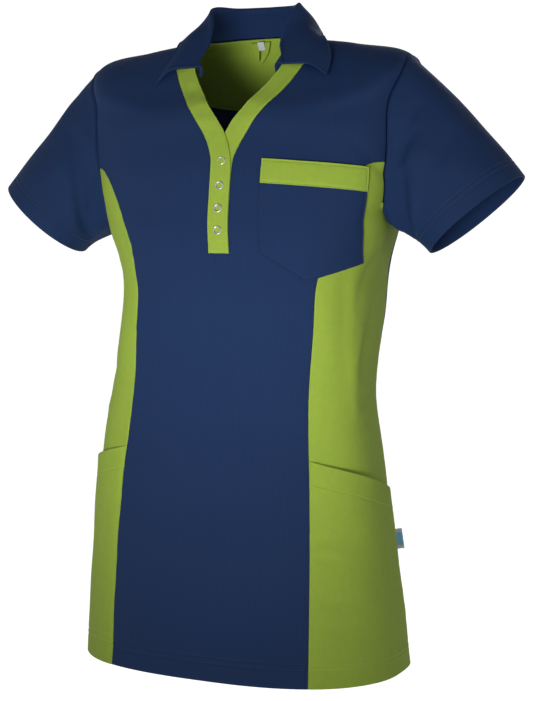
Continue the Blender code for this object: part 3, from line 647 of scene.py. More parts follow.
NAVY = (0.0085, 0.0300, 0.1020)
navy = cloth_finish("navy_knit", NAVY, 0.0011, haze=0.16, mottle=0.12, sheen=0.06, rough=0.75, bump=0.5,
                    rib=0.16)
navy_thread = thread_finish("navy_thread", (0.0045, 0.0150, 0.0560))


def front_outer(level):
    """The front panel's seam edge, hem to underarm and on round the armhole to the shoulder."""
    level = np.asarray(level, float)[..., None]
    part = (level[..., 0] - SEAM_TOP) / (LAST_LEVEL - SEAM_TOP)
    arm = armhole(ARMHOLE.seam_front * (1 - np.clip(part, 0, 1)))
    return np.where(level < SEAM_TOP, between(FRONT_LINE, level[..., 0]), arm)


def band_row(level):
    """The row of the neck band that a level of the front meets."""
    part = (level - SEAM_TOP) / (LAST_LEVEL - SEAM_TOP)
    return np.where(level < SEAM_TOP, level - PLACKET_FOOT, BAND_JOINED + (BAND_LAST - BAND_JOINED) * part)


def front_inner(level):
    """Its inner edge: half a band from centre front below the placket, then along the band."""
    rise = front_outer(level)[..., 1]
    below = np.stack([turn_at(BAND_WIDTH / 2, rise), rise], -1)
    return np.where((level < PLACKET_FOOT)[..., None], below, between(BAND_OUTER, band_row(level) * 4))


def mirrored(places):
    """The same places on the wearer's right, still running left to right in the grid."""
    return places[:, ::-1] * np.array([-1.0, 1.0])


levels = levels_of(front_outer, LAST_LEVEL, 200)
edges = front_inner(levels), front_outer(levels)
half = mixed(*edges, shares(*edges, 36))
slit = half.shape[1] - 1               # the column where the wearer's right half ends
MIDDLE_COLUMNS = 8
part = np.linspace(0, 1, MIDDLE_COLUMNS + 1)[None, 1:-1, None]
centre = mirrored(half)[:, -1:] * (1 - part) + half[:, :1] * part
places = np.concatenate([mirrored(half), centre, half], axis=1)
face = laid(places)
low, high = margins(face)[2:]
neck_gap, side_gap = margins(face[:, -half.shape[1]:])[:2]
far = np.ones_like(centre[..., 0])     # the strip between the halves is far from both edges
side_gap = np.concatenate([run_of(face[:, :slit + 1], 1), far, side_gap], axis=1)
neck_gap = np.concatenate([neck_gap[:, ::-1], far, neck_gap], axis=1)
open_rows = np.clip(levels - PLACKET_FOOT + 0.1, 0, 0.1)[:, None] * 10
outer, inner = hemmed(face, side_gap, low, high)
outer = outer - open_rows * seam_sink(neck_gap)
foot_row = int(np.sum(levels < PLACKET_FOOT))
front = wall("front_panel_cloth", face, outer, inner, slit + MIDDLE_COLUMNS // 2,
             gap=lambda corners: (min(row for row, _ in corners) >= foot_row
                                  and min(column for _, column in corners) >= slit
                                  and max(column for _, column in corners) <= slit + MIDDLE_COLUMNS))
front.data.materials.append(navy)
hem_rows = [row_at(low[:, slit], line) for line in HEM_LINES]
seats, facing = seats_on(face, outer)
front_stitches = stitching("front_panel_stitching", [(seats[row], facing[row]) for row in hem_rows],
                           navy_thread)
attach(front, "root")
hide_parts("front_panel")

# ================================================================ side panels
# A panel of the same knit in lime green runs under each arm from the hem to the armhole,
# seamed to the front and the back. The hip pocket covers its lower part.
POCKET_TOP, POCKET_DROP = -0.466, 0.042
TUCK, TUCK_FALL = 0.0013, 0.0022       # how far the side panel lies in behind its pocket, and
TUCK_START = 0.004                     # over what height it goes in, this far below the mouth

BACK_LINE = np.array([(row.back_turn, row.rise) for row in SEAMS]
                     + [tuple(armhole(ARMHOLE.seam_back))])
LIME = (0.362, 0.515, 0.058)
lime = cloth_finish("lime_knit", LIME, 0.0011, haze=0.05, mottle=0.15, sheen=0.06, rough=0.80, bump=0.5)
lime_thread = thread_finish("lime_thread", (0.470, 0.630, 0.090))

levels = levels_of(lambda level: between(FRONT_LINE, level), SEAM_TOP, 190)
edges = between(FRONT_LINE, levels), between(BACK_LINE, levels)
part = shares(*edges, 44)
places = mixed(*edges, part)
pull = np.clip((levels - PLACKET_FOOT) / (SEAM_TOP - PLACKET_FOOT), 0, 1)[:, None, None] ** 1.5
arm = armhole(ARMHOLE.seam_front + (ARMHOLE.seam_back - ARMHOLE.seam_front) * part[-1])
side_places = places + pull * (arm - places[-1])


def on_both_sides(name, make):
    """Makes a piece for the wearer's left and right; make is told its name and if it's the right."""
    for side in ("left", "right"):
        make(f"{name}_{side}_cloth", side == "right")


def side_panel(name, right):
    places, parts = (mirrored(side_places), part[:, ::-1]) if right else (side_places, part)
    face = laid(places)
    start, end, low, high = margins(face)
    edge = np.minimum(start, end)
    covered = POCKET_TOP - POCKET_DROP * parts - TUCK_START - face[..., 2]
    tucked = TUCK / (1 + np.exp(-covered / TUCK_FALL))
    outer = pucker(face, edge) - seam_sink(edge) - seam_sink(high) - fold_sink(low, CLOTH / 2) - tucked
    inner = fold_sink(low, CLOTH / 2) - CLOTH - tucked
    panel = wall(name, face, outer, inner, face.shape[1] // 2)
    panel.data.materials.append(lime)
    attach(panel, "root")
    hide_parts(name.replace("_cloth", ""))


on_both_sides("side_panel", side_panel)

# ================================================================ back panel
# One navy panel from side seam to side seam. It runs up to the shoulder seams and the back
# of the neck, and is turned up at the hem like the front.
SHOULDER_SHARE = 3 / 8                 # part of half the top edge that is the shoulder seam


def back_top(part):
    """The top edge of half the back: the shoulder seam, then the neckline to centre back."""
    on_shoulder = np.clip(part / SHOULDER_SHARE, 0, 1)
    on_neck = np.clip((part - SHOULDER_SHARE) / (1 - SHOULDER_SHARE), 0, 1)
    return np.stack([90.0 + 90.0 * on_neck, TIP + (NECK - TIP) * on_shoulder], -1)


def back_outer(level):
    """The back panel's edge: up the side seam, then round the armhole to the shoulder."""
    level = np.asarray(level, float)[..., None]
    part = (level[..., 0] - SEAM_TOP) / (LAST_LEVEL - SEAM_TOP)
    arm = armhole(ARMHOLE.seam_back + (360 - ARMHOLE.seam_back) * np.clip(part, 0, 1))
    return np.where(level < SEAM_TOP, between(BACK_LINE, level[..., 0]), arm)


def back_half(level, part):
    """Places on half the back, from levels and shares of the way to centre back."""
    outer = back_outer(level)
    at_top = back_outer(SEAM_TOP)[1]
    arm = np.clip((level - SEAM_TOP) / (LAST_LEVEL - SEAM_TOP), 0, 1)
    rise = np.where(level < SEAM_TOP, outer[..., 1], at_top + (NECK - at_top) * arm)
    middle = np.stack([np.full(rise.shape, 180.0), rise], -1)
    part = part[..., None]
    last = np.array([90.0, TIP]) * (1 - part) + np.array([180.0, NECK]) * part
    return outer * (1 - part) + middle * part + arm[..., None] ** 1.5 * (back_top(part[..., 0]) - last)


def whole_back(half):
    """Half the back's places and the same ones mirrored past centre back."""
    return np.concatenate([half, half[:, -2::-1] * np.array([-1.0, 1.0]) + np.array([360.0, 0.0])], axis=1)


levels = levels_of(back_outer, LAST_LEVEL, 215)
middle = np.stack([np.full(len(levels), 180.0), back_outer(levels)[:, 1]], -1)
rough = shares(back_outer(levels), middle, 50, end=np.array([0.0]))
shoulder_column = int(np.argmin(np.abs(rough[-1] - SHOULDER_SHARE)))
rough += (SHOULDER_SHARE - rough[-1, shoulder_column]) * np.sin(np.pi * rough)
face = laid(whole_back(back_half(np.broadcast_to(levels[:, None], rough.shape), rough)))
start, end, low, high = margins(face)
outer, inner = hemmed(face, np.minimum(start, end), low, high)
back = wall("back_panel_cloth", face, outer, inner, face.shape[1] // 2)
back.data.materials.append(navy)
seats, facing = seats_on(face, outer)
hem_rows = [row_at(low[:, 0], line) for line in HEM_LINES]
back_stitches = stitching("back_panel_stitching", [(seats[row], facing[row]) for row in hem_rows],
                          navy_thread)
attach(back, "root")
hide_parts("back_panel")

# ================================================================ sleeves
# Set-in short sleeves of the navy knit: each is a tube eased into the armhole, seamed under
# the arm, and turned up inside at its wide cuff with two rows of stitching.
Cuff = namedtuple("Cuff", "x y z up_x up_z half_height")
CUFFS = {"left": Cuff(0.266, 0.004, -0.2035, 0.777, 0.630, 0.067),
         "right": Cuff(0.263, 0.004, -0.2020, 0.745, 0.667, 0.061)}
CUFF_HALF_DEPTH = 0.0520
CAP_LEAVES = (0.74, 0.0, -0.67)
SLEEVE_PULLS = (0.28, 0.40)
CUFF_LINES, CUFF_DEEP = (0.0170, 0.0222), 0.0238
HEAD_LIFT, HEAD_AT, HEAD_HALF = 0.0014, 0.0042, 0.0028   # the swell beside the armhole seam
CUFF_STEPS = np.array([0.00006, 0.0002, 0.0004, 0.0007, 0.0011, 0.0018, 0.0040, 0.0075, 0.0110, 0.0145,
                       0.0160, 0.0165, 0.0170, 0.0175, 0.0182, 0.0200, 0.0212, 0.0217, 0.0222,
                       0.0227, 0.0234, 0.0250, 0.0262])
# Paths here are angles round the armhole (0 on top, 90 in front) and parts of the way down.
SLEEVE_CREASES = {
    "left": (
        Crease(((40, 0.24), (62, 0.23), (90, 0.20), (114, 0.20)), -0.0044, 0.0072, 0.0101),
        Crease(((58, 0.34), (74, 0.31), (90, 0.26), (104, 0.24)), -0.0030, 0.0043, 0.0070),
        Crease(((44, 0.54), (58, 0.57), (70, 0.60), (84, 0.60)), -0.0025, 0.0050, 0.0078),
        Crease(((104, 0.27), (120, 0.34), (134, 0.44), (152, 0.54), (166, 0.66)), -0.0054, 0.0065, 0.0094),
        Crease(((100, 0.44), (116, 0.50), (134, 0.58), (152, 0.68)), 0.0037, 0.0086, 0.0094),
        Crease(((126, 0.08), (142, 0.16), (158, 0.28), (172, 0.40)), 0.0034, 0.0058, 0.0070),
        Crease(((70, 0.46), (88, 0.42), (104, 0.42)), 0.0028, 0.0101, 0.0109),
        Crease(((196, 0.10), (204, 0.26), (212, 0.44), (220, 0.60)), -0.0051, 0.0065, 0.0094),
        Crease(((232, 0.14), (240, 0.28), (252, 0.42), (262, 0.52)), -0.0037, 0.0072, 0.0094),
        Crease(((214, 0.12), (226, 0.30), (236, 0.48)), 0.0037, 0.0072, 0.0078),
        Crease(((300, 0.20), (288, 0.32), (276, 0.50)), -0.0030, 0.0072, 0.0101),
        Crease(((322, 0.40), (308, 0.52), (296, 0.66)), -0.0022, 0.0065, 0.0086),
        Crease(((16, 0.30), (28, 0.44), (34, 0.62)), 0.0020, 0.0115, 0.0140),
    ),
    "right": (
        Crease(((46, 0.36), (66, 0.33), (92, 0.33), (112, 0.38), (126, 0.42)), -0.0037, 0.0065, 0.0094),
        Crease(((122, 0.46), (140, 0.52), (156, 0.58), (168, 0.68)), -0.0044, 0.0058, 0.0086),
        Crease(((96, 0.14), (114, 0.18), (130, 0.26), (146, 0.36)), -0.0037, 0.0072, 0.0094),
        Crease(((72, 0.16), (92, 0.14), (108, 0.15)), 0.0024, 0.0079, 0.0094),
        Crease(((108, 0.50), (126, 0.58), (142, 0.68)), 0.0030, 0.0086, 0.0094),
        Crease(((66, 0.50), (84, 0.52), (98, 0.56)), 0.0020, 0.0101, 0.0109),
        Crease(((192, 0.12), (202, 0.28), (208, 0.46), (218, 0.62)), -0.0047, 0.0065, 0.0094),
        Crease(((228, 0.16), (242, 0.30), (250, 0.44)), -0.0037, 0.0072, 0.0101),
        Crease(((212, 0.16), (222, 0.32), (232, 0.50)), 0.0034, 0.0072, 0.0078),
        Crease(((296, 0.22), (286, 0.36), (270, 0.52)), -0.0029, 0.0072, 0.0101),
        Crease(((318, 0.36), (304, 0.50), (292, 0.68)), -0.0020, 0.0072, 0.0094),
        Crease(((20, 0.26), (30, 0.42), (38, 0.60)), 0.0020, 0.0115, 0.0140),
    ),
}


def sleeve_points(cuff, angle, part):
    """Points of a plain left sleeve, on a smooth way from the armhole to the cuff."""
    start = armhole(angle)
    root = form(start[..., 0], start[..., 1])
    cos, sin = np.cos(np.radians(angle))[..., None], np.sin(np.radians(angle))[..., None]
    axis = np.array([cuff.up_z, 0.0, -cuff.up_x])
    rim = (np.array([cuff.x, cuff.y, cuff.z])
           + cuff.half_height * cos * np.array([cuff.up_x, 0.0, cuff.up_z])
           + CUFF_HALF_DEPTH * sin * np.array([0.0, -1.0, 0.0]))
    leave = unit(axis * (1 - cos) / 2 + np.array(CAP_LEAVES) * (1 + cos) / 2)
    span = np.linalg.norm(rim - root, axis=-1, keepdims=True)
    first, second = root + leave * span * SLEEVE_PULLS[0], rim - axis * span * SLEEVE_PULLS[1]
    part = part[..., None]
    return ((1 - part) ** 3 * root + 3 * (1 - part) ** 2 * part * first
            + 3 * (1 - part) * part ** 2 * second + part ** 3 * rim)


def sleeve(name, right):
    side = "right" if right else "left"
    cuff, flip = CUFFS[side], np.array([-1.0 if right else 1.0, 1.0, 1.0])
    under = np.array([0.2, 0.6, 1.1, 1.8, 2.8, 4.2])
    angles = np.concatenate([np.linspace(0, 174, 76), 180 - under[::-1][1:], [180], 180 + under[:-1],
                             np.linspace(186, 360, 76)[:-1]])
    dense = np.linspace(0, 1, 60)
    length = run_of(sleeve_points(cuff, angles[None], dense[:, None]), 0)
    down = steps(length[-1], 34, EDGE_STEPS, CUFF_STEPS)
    part = np.stack([np.interp(row, run, dense) for row, run in zip(down, length.T)], 1)
    base = sleeve_points(cuff, np.broadcast_to(angles, part.shape), part)
    facing = faces_way(base, True)
    lines = [sleeve_points(cuff, *between(np.array(crease.path, float),
                                          np.linspace(0, len(crease.path) - 1, 14)).T)
             for crease in SLEEVE_CREASES[side]]
    own = relief(base, facing, SLEEVE_CREASES[side], lines) * np.clip(part / 0.08, 0, 1)
    start = armhole(angles)
    body = laid(start * flip[:2]) * flip - form(start[:, 0], start[:, 1])
    fade = np.clip(1 - part / 0.12, 0, 1) ** 2
    face = base + facing * (own + drift(base * 1.3) * (1 - fade))[..., None] + body * fade[..., None]
    round_it, _, high, low = margins(face)
    under_arm = np.abs(round_it - round_it[:, [row_at(angles, 180)]])
    outer = (groove(high, HEAD_AT, HEAD_LIFT, HEAD_HALF) + pucker(face * flip, high) - seam_sink(high)
             - fold_sink(low, CLOTH) - seam_sink(under_arm) - sum(groove(low, line) for line in CUFF_LINES))
    inner = fold_sink(low, CLOTH) - CLOTH * (1 + HEM_PLY * turned(low, CUFF_DEEP))
    face = face * flip
    if right:
        face, outer, inner, low = (grid[:, ::-1] for grid in (face, outer, inner, low))
    made = wall(name, face, outer, inner, 0, tube=True)
    made.data.materials.append(navy)
    seats, facing = seats_on(face, outer, True)
    rows = [row_at(low[:, 0], line) for line in CUFF_LINES]
    ring = [(np.vstack([seats[row], seats[row, :1]]), np.vstack([facing[row], facing[row, :1]]))
            for row in rows]
    threads = stitching(name.replace("cloth", "stitching"), ring, navy_thread)
    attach(made, "root")
    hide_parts("sleeve_" + side)


on_both_sides("sleeve", sleeve)

# ================================================================ neck bands and placket
# Folded strips of the lime knit with a stiffening inside finish the V neck. The wearer's
# left one lies under; the right one crosses over it and runs on down as the placket, whose
# foot is closed by a stitched box and cross.
BAND_CLOTH = 0.0016
BAND_PROUD = 0.0009                    # how far a band stands above the front beside it
PLACKET_OUT = 0.0019                   # the placket's face, above the under band
BAND_CROSS, BAND_CLEAR = 6.5, 10.0     # band rows where the right one comes down off the left one
UNDER_CROSS, UNDER_CLEAR = 6.4, 7.8    # and where the left one goes in under the right one
UNDER_OUT, UNDER_THINNER, UNDER_START = 0.0001, 0.0005, 5.6
BAND_CURVE = (4.2, 5.5)                # band rows where the strips turn from the placket to the V
BAND_SEWN = 0.0016                     # from a band's edge to its row of stitching
BAND_FOOT = 0.02
BOX_TOP, BOX_BOTTOM = 0.0128, 0.0022   # the stitched box, above the placket's foot
STRIP_STEPS = np.array([0.00006, 0.0002, 0.0004, 0.0007, 0.0010, 0.0013, 0.0016, 0.0019, 0.0023, 0.0030])

BAND_INNER = band_edge([(row.inner_x, row.inner_z) for row in BAND], [(70.0, NECK), (90.0, NECK)])


def smoothed(low, high, value):
    part = np.clip((value - low) / (high - low), 0, 1)
    return part * part * (3 - 2 * part)


dense = np.linspace(BAND_FOOT, BAND_LAST, 400)
length = run_of(form(*((between(BAND_INNER, dense * 4) + between(BAND_OUTER, dense * 4)) / 2).T), 0)
rows = np.interp(steps(length[-1], 110, STRIP_STEPS, STRIP_STEPS), length, dense)
edges = between(BAND_INNER, rows * 4), between(BAND_OUTER, rows * 4)
places = mixed(*edges, shares(*edges, 12, STRIP_STEPS, STRIP_STEPS))


def neck_band(name, right):
    where = mirrored(places) if right else places
    clear = smoothed(BAND_CROSS, BAND_CLEAR, rows)[:, None]
    risen = smoothed(UNDER_CROSS, UNDER_CLEAR, rows)[:, None]
    if right:
        out = PLACKET_OUT * (1 - clear) + BAND_PROUD * clear
    else:
        out = UNDER_OUT + (BAND_PROUD - UNDER_OUT) * risen
    face = laid(where, out)
    left, other, low, _ = margins(face)
    edge = np.minimum(left, other)
    curved = smoothed(*BAND_CURVE, rows)[:, None]
    crumple = (0.12 + 0.30 * curved) * 0.001 * ripple(face * 0.50) * np.sin(np.pi * left / left[:, -1:])
    rounded = fold_sink(edge, BAND_CLOTH / 2) + fold_sink(low, BAND_CLOTH / 2)
    outer = (crumple + 0.5 * pucker(face, edge - BAND_SEWN, wide=0.003) - rounded
             - groove(edge, BAND_SEWN, 0.00050, 0.0006))
    inner = rounded - BAND_CLOTH
    if not right:
        inner = inner + UNDER_THINNER * (1 - risen)
    band = wall(name, face, outer, inner, face.shape[1] // 2)
    band.data.materials.append(lime)
    seats, facing = seats_on(face, outer)
    hem = row_at(STRIP_STEPS, BAND_SEWN)
    first = 0 if right else int(np.sum(rows < UNDER_START))
    runs = [(seats[first:, column], facing[first:, column]) for column in (hem, -1 - hem)]
    if right:
        box = [row_at(low[:, 0], height) for height in (BOX_BOTTOM, BOX_TOP)]
        runs += [(seats[row, hem:-hem], facing[row, hem:-hem]) for row in box]
        for start, end in (((box[0], hem), (box[1], -1 - hem)), ((box[0], -1 - hem), (box[1], hem))):
            part = np.linspace(0, 1, 9)[:, None]
            line = seats[start] * (1 - part) + seats[end] * part
            runs.append((line + facing[start] * 0.0001, np.tile(facing[start], (9, 1))))
    threads = stitching(name.replace("cloth", "stitching"), runs, lime_thread)
    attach(band, "root")
    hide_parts(name.replace("_cloth", ""))


on_both_sides("neck_band", neck_band)

# ================================================================ ring snaps
# Four open ring snaps of polished steel close the placket. Each ring is a rounded washer whose prongs grip
# through the cloth; only the steel ring itself is built.
SNAP_NODES = ("ring_stud_1", "ring_stud_2", "ring_stud_3", "ring_stud_4")
SNAP_OUTER, SNAP_WIDTH, SNAP_HEIGHT, SNAP_SEAT = 0.0050, 0.0019, 0.0014, 0.0005

steel, tree, shader = blank("polished_steel")
shader.inputs["Metallic"].default_value = 1.0
seat = node(tree, "ShaderNodeTexCoord").outputs["Object"]
scuff = node(tree, "ShaderNodeTexNoise", {"Vector": seat, "Scale": 1400.0, "Detail": 4.0}).outputs["Fac"]
tone = node(tree, "ShaderNodeValToRGB", {"Fac": scuff})
tone.color_ramp.elements[0].color = (0.30, 0.30, 0.29, 1.0)
tone.color_ramp.elements[1].color = (0.50, 0.50, 0.48, 1.0)
tree.links.new(tone.outputs[0], shader.inputs["Base Color"])
tree.links.new(sums(tree, "MULTIPLY_ADD", scuff, 0.22, 0.12), shader.inputs["Roughness"])
raised = node(tree, "ShaderNodeBump", {"Height": scuff, "Strength": 0.15, "Distance": 0.00005})
tree.links.new(raised.outputs[0], shader.inputs["Normal"])

for snap in SNAP_NODES:
    low_corner, high_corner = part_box(snap)
    middle = (low_corner + high_corner) / 2
    turn, rise = spot(0.0, middle.z)
    out_way = Vector(outward(turn, rise))
    bm = bmesh.new()
    bmesh.ops.create_circle(bm, segments=14, radius=1.0)
    bmesh.ops.scale(bm, verts=bm.verts, vec=(SNAP_WIDTH / 2, SNAP_HEIGHT / 2, 1.0))
    bmesh.ops.rotate(bm, verts=bm.verts, matrix=Matrix.Rotation(np.pi / 2, 3, "X"))
    bmesh.ops.translate(bm, verts=bm.verts, vec=(SNAP_OUTER - SNAP_WIDTH / 2, 0.0, 0.0))
    bmesh.ops.spin(bm, geom=bm.verts[:] + bm.edges[:], cent=(0, 0, 0), axis=(0, 0, 1), angle=2 * np.pi,
                   steps=48, use_merge=True)
    bmesh.ops.remove_doubles(bm, verts=bm.verts, dist=1e-6)
    seat = Vector(form(turn, rise)) + out_way * (PLACKET_OUT + SNAP_SEAT)
    bmesh.ops.transform(bm, verts=bm.verts, matrix=Matrix.Translation(seat)
                        @ out_way.to_track_quat("Z", "Y").to_matrix().to_4x4())
    bmesh.ops.recalc_face_normals(bm, faces=bm.faces)
    ring = built(snap + "_ring", bm)
    ring.data.materials.append(steel)
    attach(ring, "root")
    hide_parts(snap)

# ================================================================ collar
# A collar in the navy knit, cut in one: it stands round the back of the neck, rolls over
# and falls to two points in front. It is two layers thick, with a stitched edge.
CollarRow = namedtuple("CollarRow", "turn roll_x roll_y roll_z edge_turn edge_rise edge_out swell lean drop")
COLLAR = np.array([
    #         turn   roll_x   roll_y   roll_z  e_turn e_rise e_out   swell   lean  drop
    CollarRow(45.5, 0.0562, -0.0385, -0.0335, 62.1, 10.93, 0.0045, 0.0050, 1.9, 0.10),
    CollarRow(70.0, 0.0465, -0.0185, -0.0085, 75.5, 11.43, 0.0045, 0.0032, 5.0, 0.05),
    CollarRow(90.0, 0.0490, 0.0010, 0.0190, 88.0, 11.60, 0.0045, 0.0020, 3.5, 0.0),
    CollarRow(115.0, 0.0535, 0.0190, 0.0390, 116.0, 11.58, 0.0045, 0.0020, 0.0, 0.0),
    CollarRow(150.0, 0.0335, 0.0540, 0.0422, 150.0, 11.30, 0.0045, 0.0020, 0.0, 0.0),
    CollarRow(180.0, 0.0000, 0.0630, 0.0430, 180.0, 11.20, 0.0045, 0.0020, 0.0, 0.0),
])
COLLAR_END = 45.5
COLLAR_CLOTH = 0.0018
COLLAR_SEWN = 0.0022                   # from the collar's edge to its row of stitching
ROLL_DROPS = (0.0012, 0.0033)
SEAM_RISES = (0.02, 0.05)
STAND_HOLLOW, END_BOW = 0.0005, 0.0065  # the stand's ends bow up over the bands' edges
END_TUCK, END_RIM = 0.0055, 0.0008     # the stand's ends reach in behind the bands, and are thicker


def collar_lines(turns):
    """The collar's seven lines, from its seam over the roll to its edge, at these turns."""
    far_side = turns > 180
    half = np.where(far_side, 360 - turns, turns)
    row = between(COLLAR, np.interp(half, COLLAR[:, 0], np.arange(len(COLLAR))))
    roll = row[:, 1:4] * np.where(far_side, -1.0, 1.0)[:, None] ** np.array([1, 0, 0])
    edge_turn = np.where(far_side, 360 - row[:, 4], row[:, 4]) + row[:, 8]
    edge_rise = row[:, 5] + np.where(far_side, row[:, 9], -row[:, 9])
    edge = form(edge_turn, edge_rise) + outward(edge_turn, edge_rise) * row[:, 6:7]
    rise = NECK + np.interp(half, (COLLAR_END, 90), SEAM_RISES)
    tuck = CLOTH / 2 + END_TUCK * (1 - smoothed(COLLAR_END, 62, half))
    seam = form(turns, rise) - outward(turns, rise) * tuck[:, None]
    away = unit((edge - roll) * np.array([1.0, 1.0, 0.0]))
    up = np.array([0.0, 0.0, 1.0])
    drop = np.interp(half, (COLLAR_END, 90), ROLL_DROPS)[:, None]
    bow = END_BOW * (1 - smoothed(COLLAR_END, 64, half))[:, None]
    stand = (seam + roll) / 2 - away * (STAND_HOLLOW + 0.7 * bow) + up * 0.7 * bow
    leaf = (edge + roll) / 2 + (away + up) * row[:, 7:8]
    return np.stack([seam, stand, roll - (away + up) * drop, roll, roll + (away - up) * drop, leaf, edge])


dense = np.linspace(COLLAR_END, 360 - COLLAR_END, 500)
length = run_of(collar_lines(dense)[4], 0)
turns = np.interp(steps(length[-1], 150, STRIP_STEPS, STRIP_STEPS), length, dense)
rough = between(collar_lines(turns).reshape(7, -1), np.linspace(0, 6, 120)).reshape(120, len(turns), 3)
length = run_of(rough, 0)
down = steps(length[-1], 44, EDGE_STEPS[:5], STRIP_STEPS)
face = np.empty((down.shape[1], len(turns), 3))
for column in range(len(turns)):
    for axis in range(3):
        face[:, column, axis] = np.interp(down[column], length[:, column], rough[:, column, axis])
past_roll = smoothed(0.46, 0.54, np.arange(len(face)) / len(face))[:, None]
start, end, _, edge = margins(face)
ends = np.minimum(start, end)
rounded = fold_sink(edge, COLLAR_CLOTH / 2) + fold_sink(ends, COLLAR_CLOTH / 2)
stitched = np.minimum(edge, ends + 1 - past_roll)
rim = END_RIM * np.exp(-(np.minimum(edge + 0.0006, ends) / 0.0019) ** 4)
under = COLLAR_CLOTH / 2 - rounded + rim
top = (rounded - rim - COLLAR_CLOTH / 2 + groove(stitched, COLLAR_SEWN)
       - pucker(face, stitched - COLLAR_SEWN, wide=0.004))
collar = wall("collar_cloth", face, under, top, face.shape[1] // 2)
collar.data.materials.append(navy)
seats, facing = seats_on(face, top)
hem = row_at(STRIP_STEPS, COLLAR_SEWN)
first = int(np.argmax(past_roll[:, 0] > 0.9))
runs = [(seats[-1 - hem, hem:-hem], -facing[-1 - hem, hem:-hem])]
runs += [(seats[first:-hem, column], -facing[first:-hem, column]) for column in (hem, -1 - hem)]
collar_stitches = stitching("collar_stitching", runs, navy_thread)
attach(collar, "root")
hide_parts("collar")

# ================================================================ back-neck facing
# A half-moon of the lime knit lines the back of the neck, hemmed along its foot. The seam of
# the collar catches a folded hanger loop and a small woven size label, which is left blank.
FACING_GAP, FACING_CLOTH, FACING_SEWN = 0.0008, 0.0010, 0.0020
FACING_DEPTHS = (5.05, 5.35, 5.50, 5.60, 5.65, 5.70)
LOOP_X, LOOP_TOP, LOOP_CLOTH, LOOP_LAP = -0.0132, 0.007, 0.0010, 0.0012
LOOP_OUTER, LOOP_INNER = (0.0122, 0.0235), (0.0024, 0.0205)
LOOP_LEAN, LOOP_OFF = 0.0050, (0.0014, 0.0030)
SIZE_LABEL, LABEL_OFF, LABEL_RISE = (0.0085, 0.0080), 0.0034, 0.0012

across_it = np.linspace(0, 1, 61)
depth = between(np.array(FACING_DEPTHS)[:, None], across_it * (len(FACING_DEPTHS) - 1))[:, 0]
share = steps(1.0, 40, STRIP_STEPS * 8, EDGE_STEPS * 8)[:, None]
part = np.broadcast_to(SHOULDER_SHARE + (1 - SHOULDER_SHARE) * across_it, (len(share), 61))
face = laid(whole_back(back_half(LAST_LEVEL - depth * (1 - share), part)), -CLOTH - FACING_GAP)
low = run_of(face, 0)
rounded = fold_sink(low, FACING_CLOTH / 2)
inner = rounded + groove(low, FACING_SEWN) - FACING_CLOTH - pucker(face, low - FACING_SEWN)
lining = wall("back_neck_facing_cloth", face, -rounded, inner, face.shape[1] // 2)
lining.data.materials.append(lime)
seats, facing = seats_on(face, inner)
hem = row_at(low[:, 60], FACING_SEWN)
facing_stitches = stitching("back_neck_facing_stitching", [(seats[hem], -facing[hem])], lime_thread)
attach(lining, "root")
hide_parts("back_neck_facing")


def height_rise(turn, z):
    """Rise of the points at these turns with these heights."""
    turn, z = np.broadcast_arrays(np.asarray(turn, float), np.asarray(z, float))
    low, high = np.zeros(z.shape), np.full(z.shape, NECK)
    for _ in range(40):
        rise = (low + high) / 2
        short = form(turn, rise)[..., 2] < z
        low, high = np.where(short, rise, low), np.where(short, high, rise)
    return low


def back_spot(x, z):
    """Turn and rise of points of the back, from x and height."""
    turn = 180.0 - turn_at(x, height_rise(180.0, z))
    return np.stack([turn, height_rise(turn, z)], -1)


inside = CLOTH + FACING_GAP + FACING_CLOTH + LOOP_LAP
angle = np.linspace(0, np.pi, 49)[None]
share = steps(1.0, 6, STRIP_STEPS * 100, STRIP_STEPS * 100)[:, None]
wide = LOOP_OUTER[0] + (LOOP_INNER[0] - LOOP_OUTER[0]) * share
deep = LOOP_OUTER[1] + (LOOP_INNER[1] - LOOP_OUTER[1]) * share
pointed = 1 - np.abs(np.cos(angle)) ** 2
places = back_spot(LOOP_X + wide * np.cos(angle) - LOOP_LEAN * pointed, LOOP_TOP - deep * pointed)
face = laid(places, -inside)
rounded = fold_sink(np.minimum(*margins(face)[2:]), LOOP_CLOTH / 2)
stand_off = LOOP_OFF[0] + LOOP_OFF[1] * pointed
loop = wall("hanger_loop_cloth", face, -rounded - stand_off, rounded - LOOP_CLOTH - stand_off, 24)
loop.data.materials.append(lime)
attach(loop, "root")
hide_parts("hanger_loop")

white_tape = cloth_finish("white_tape", (0.76, 0.78, 0.81), 0.0004, haze=0.04, mottle=0.06, sheen=0.15,
                          rough=0.55, bump=0.3)
wide, deep = SIZE_LABEL
share = steps(1.0, 8, EDGE_STEPS * 40, EDGE_STEPS * 40)
x, z = np.meshgrid(LOOP_X + wide * (share - 0.5), LOOP_TOP + LABEL_RISE - deep * (1 - share))
face = laid(back_spot(x, z), -inside - LOOP_CLOTH - LABEL_OFF)
start, end, low, _ = margins(face)
rounded = fold_sink(np.minimum(low, np.minimum(start, end)), LOOP_CLOTH / 2)
curl = 0.0006 * (1 - low / low.max()) ** 2
label = wall("size_label_tape", face, -rounded - curl, rounded - LOOP_CLOTH - curl, 8)
label.data.materials.append(white_tape)
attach(label, "root")
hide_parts("size_label")

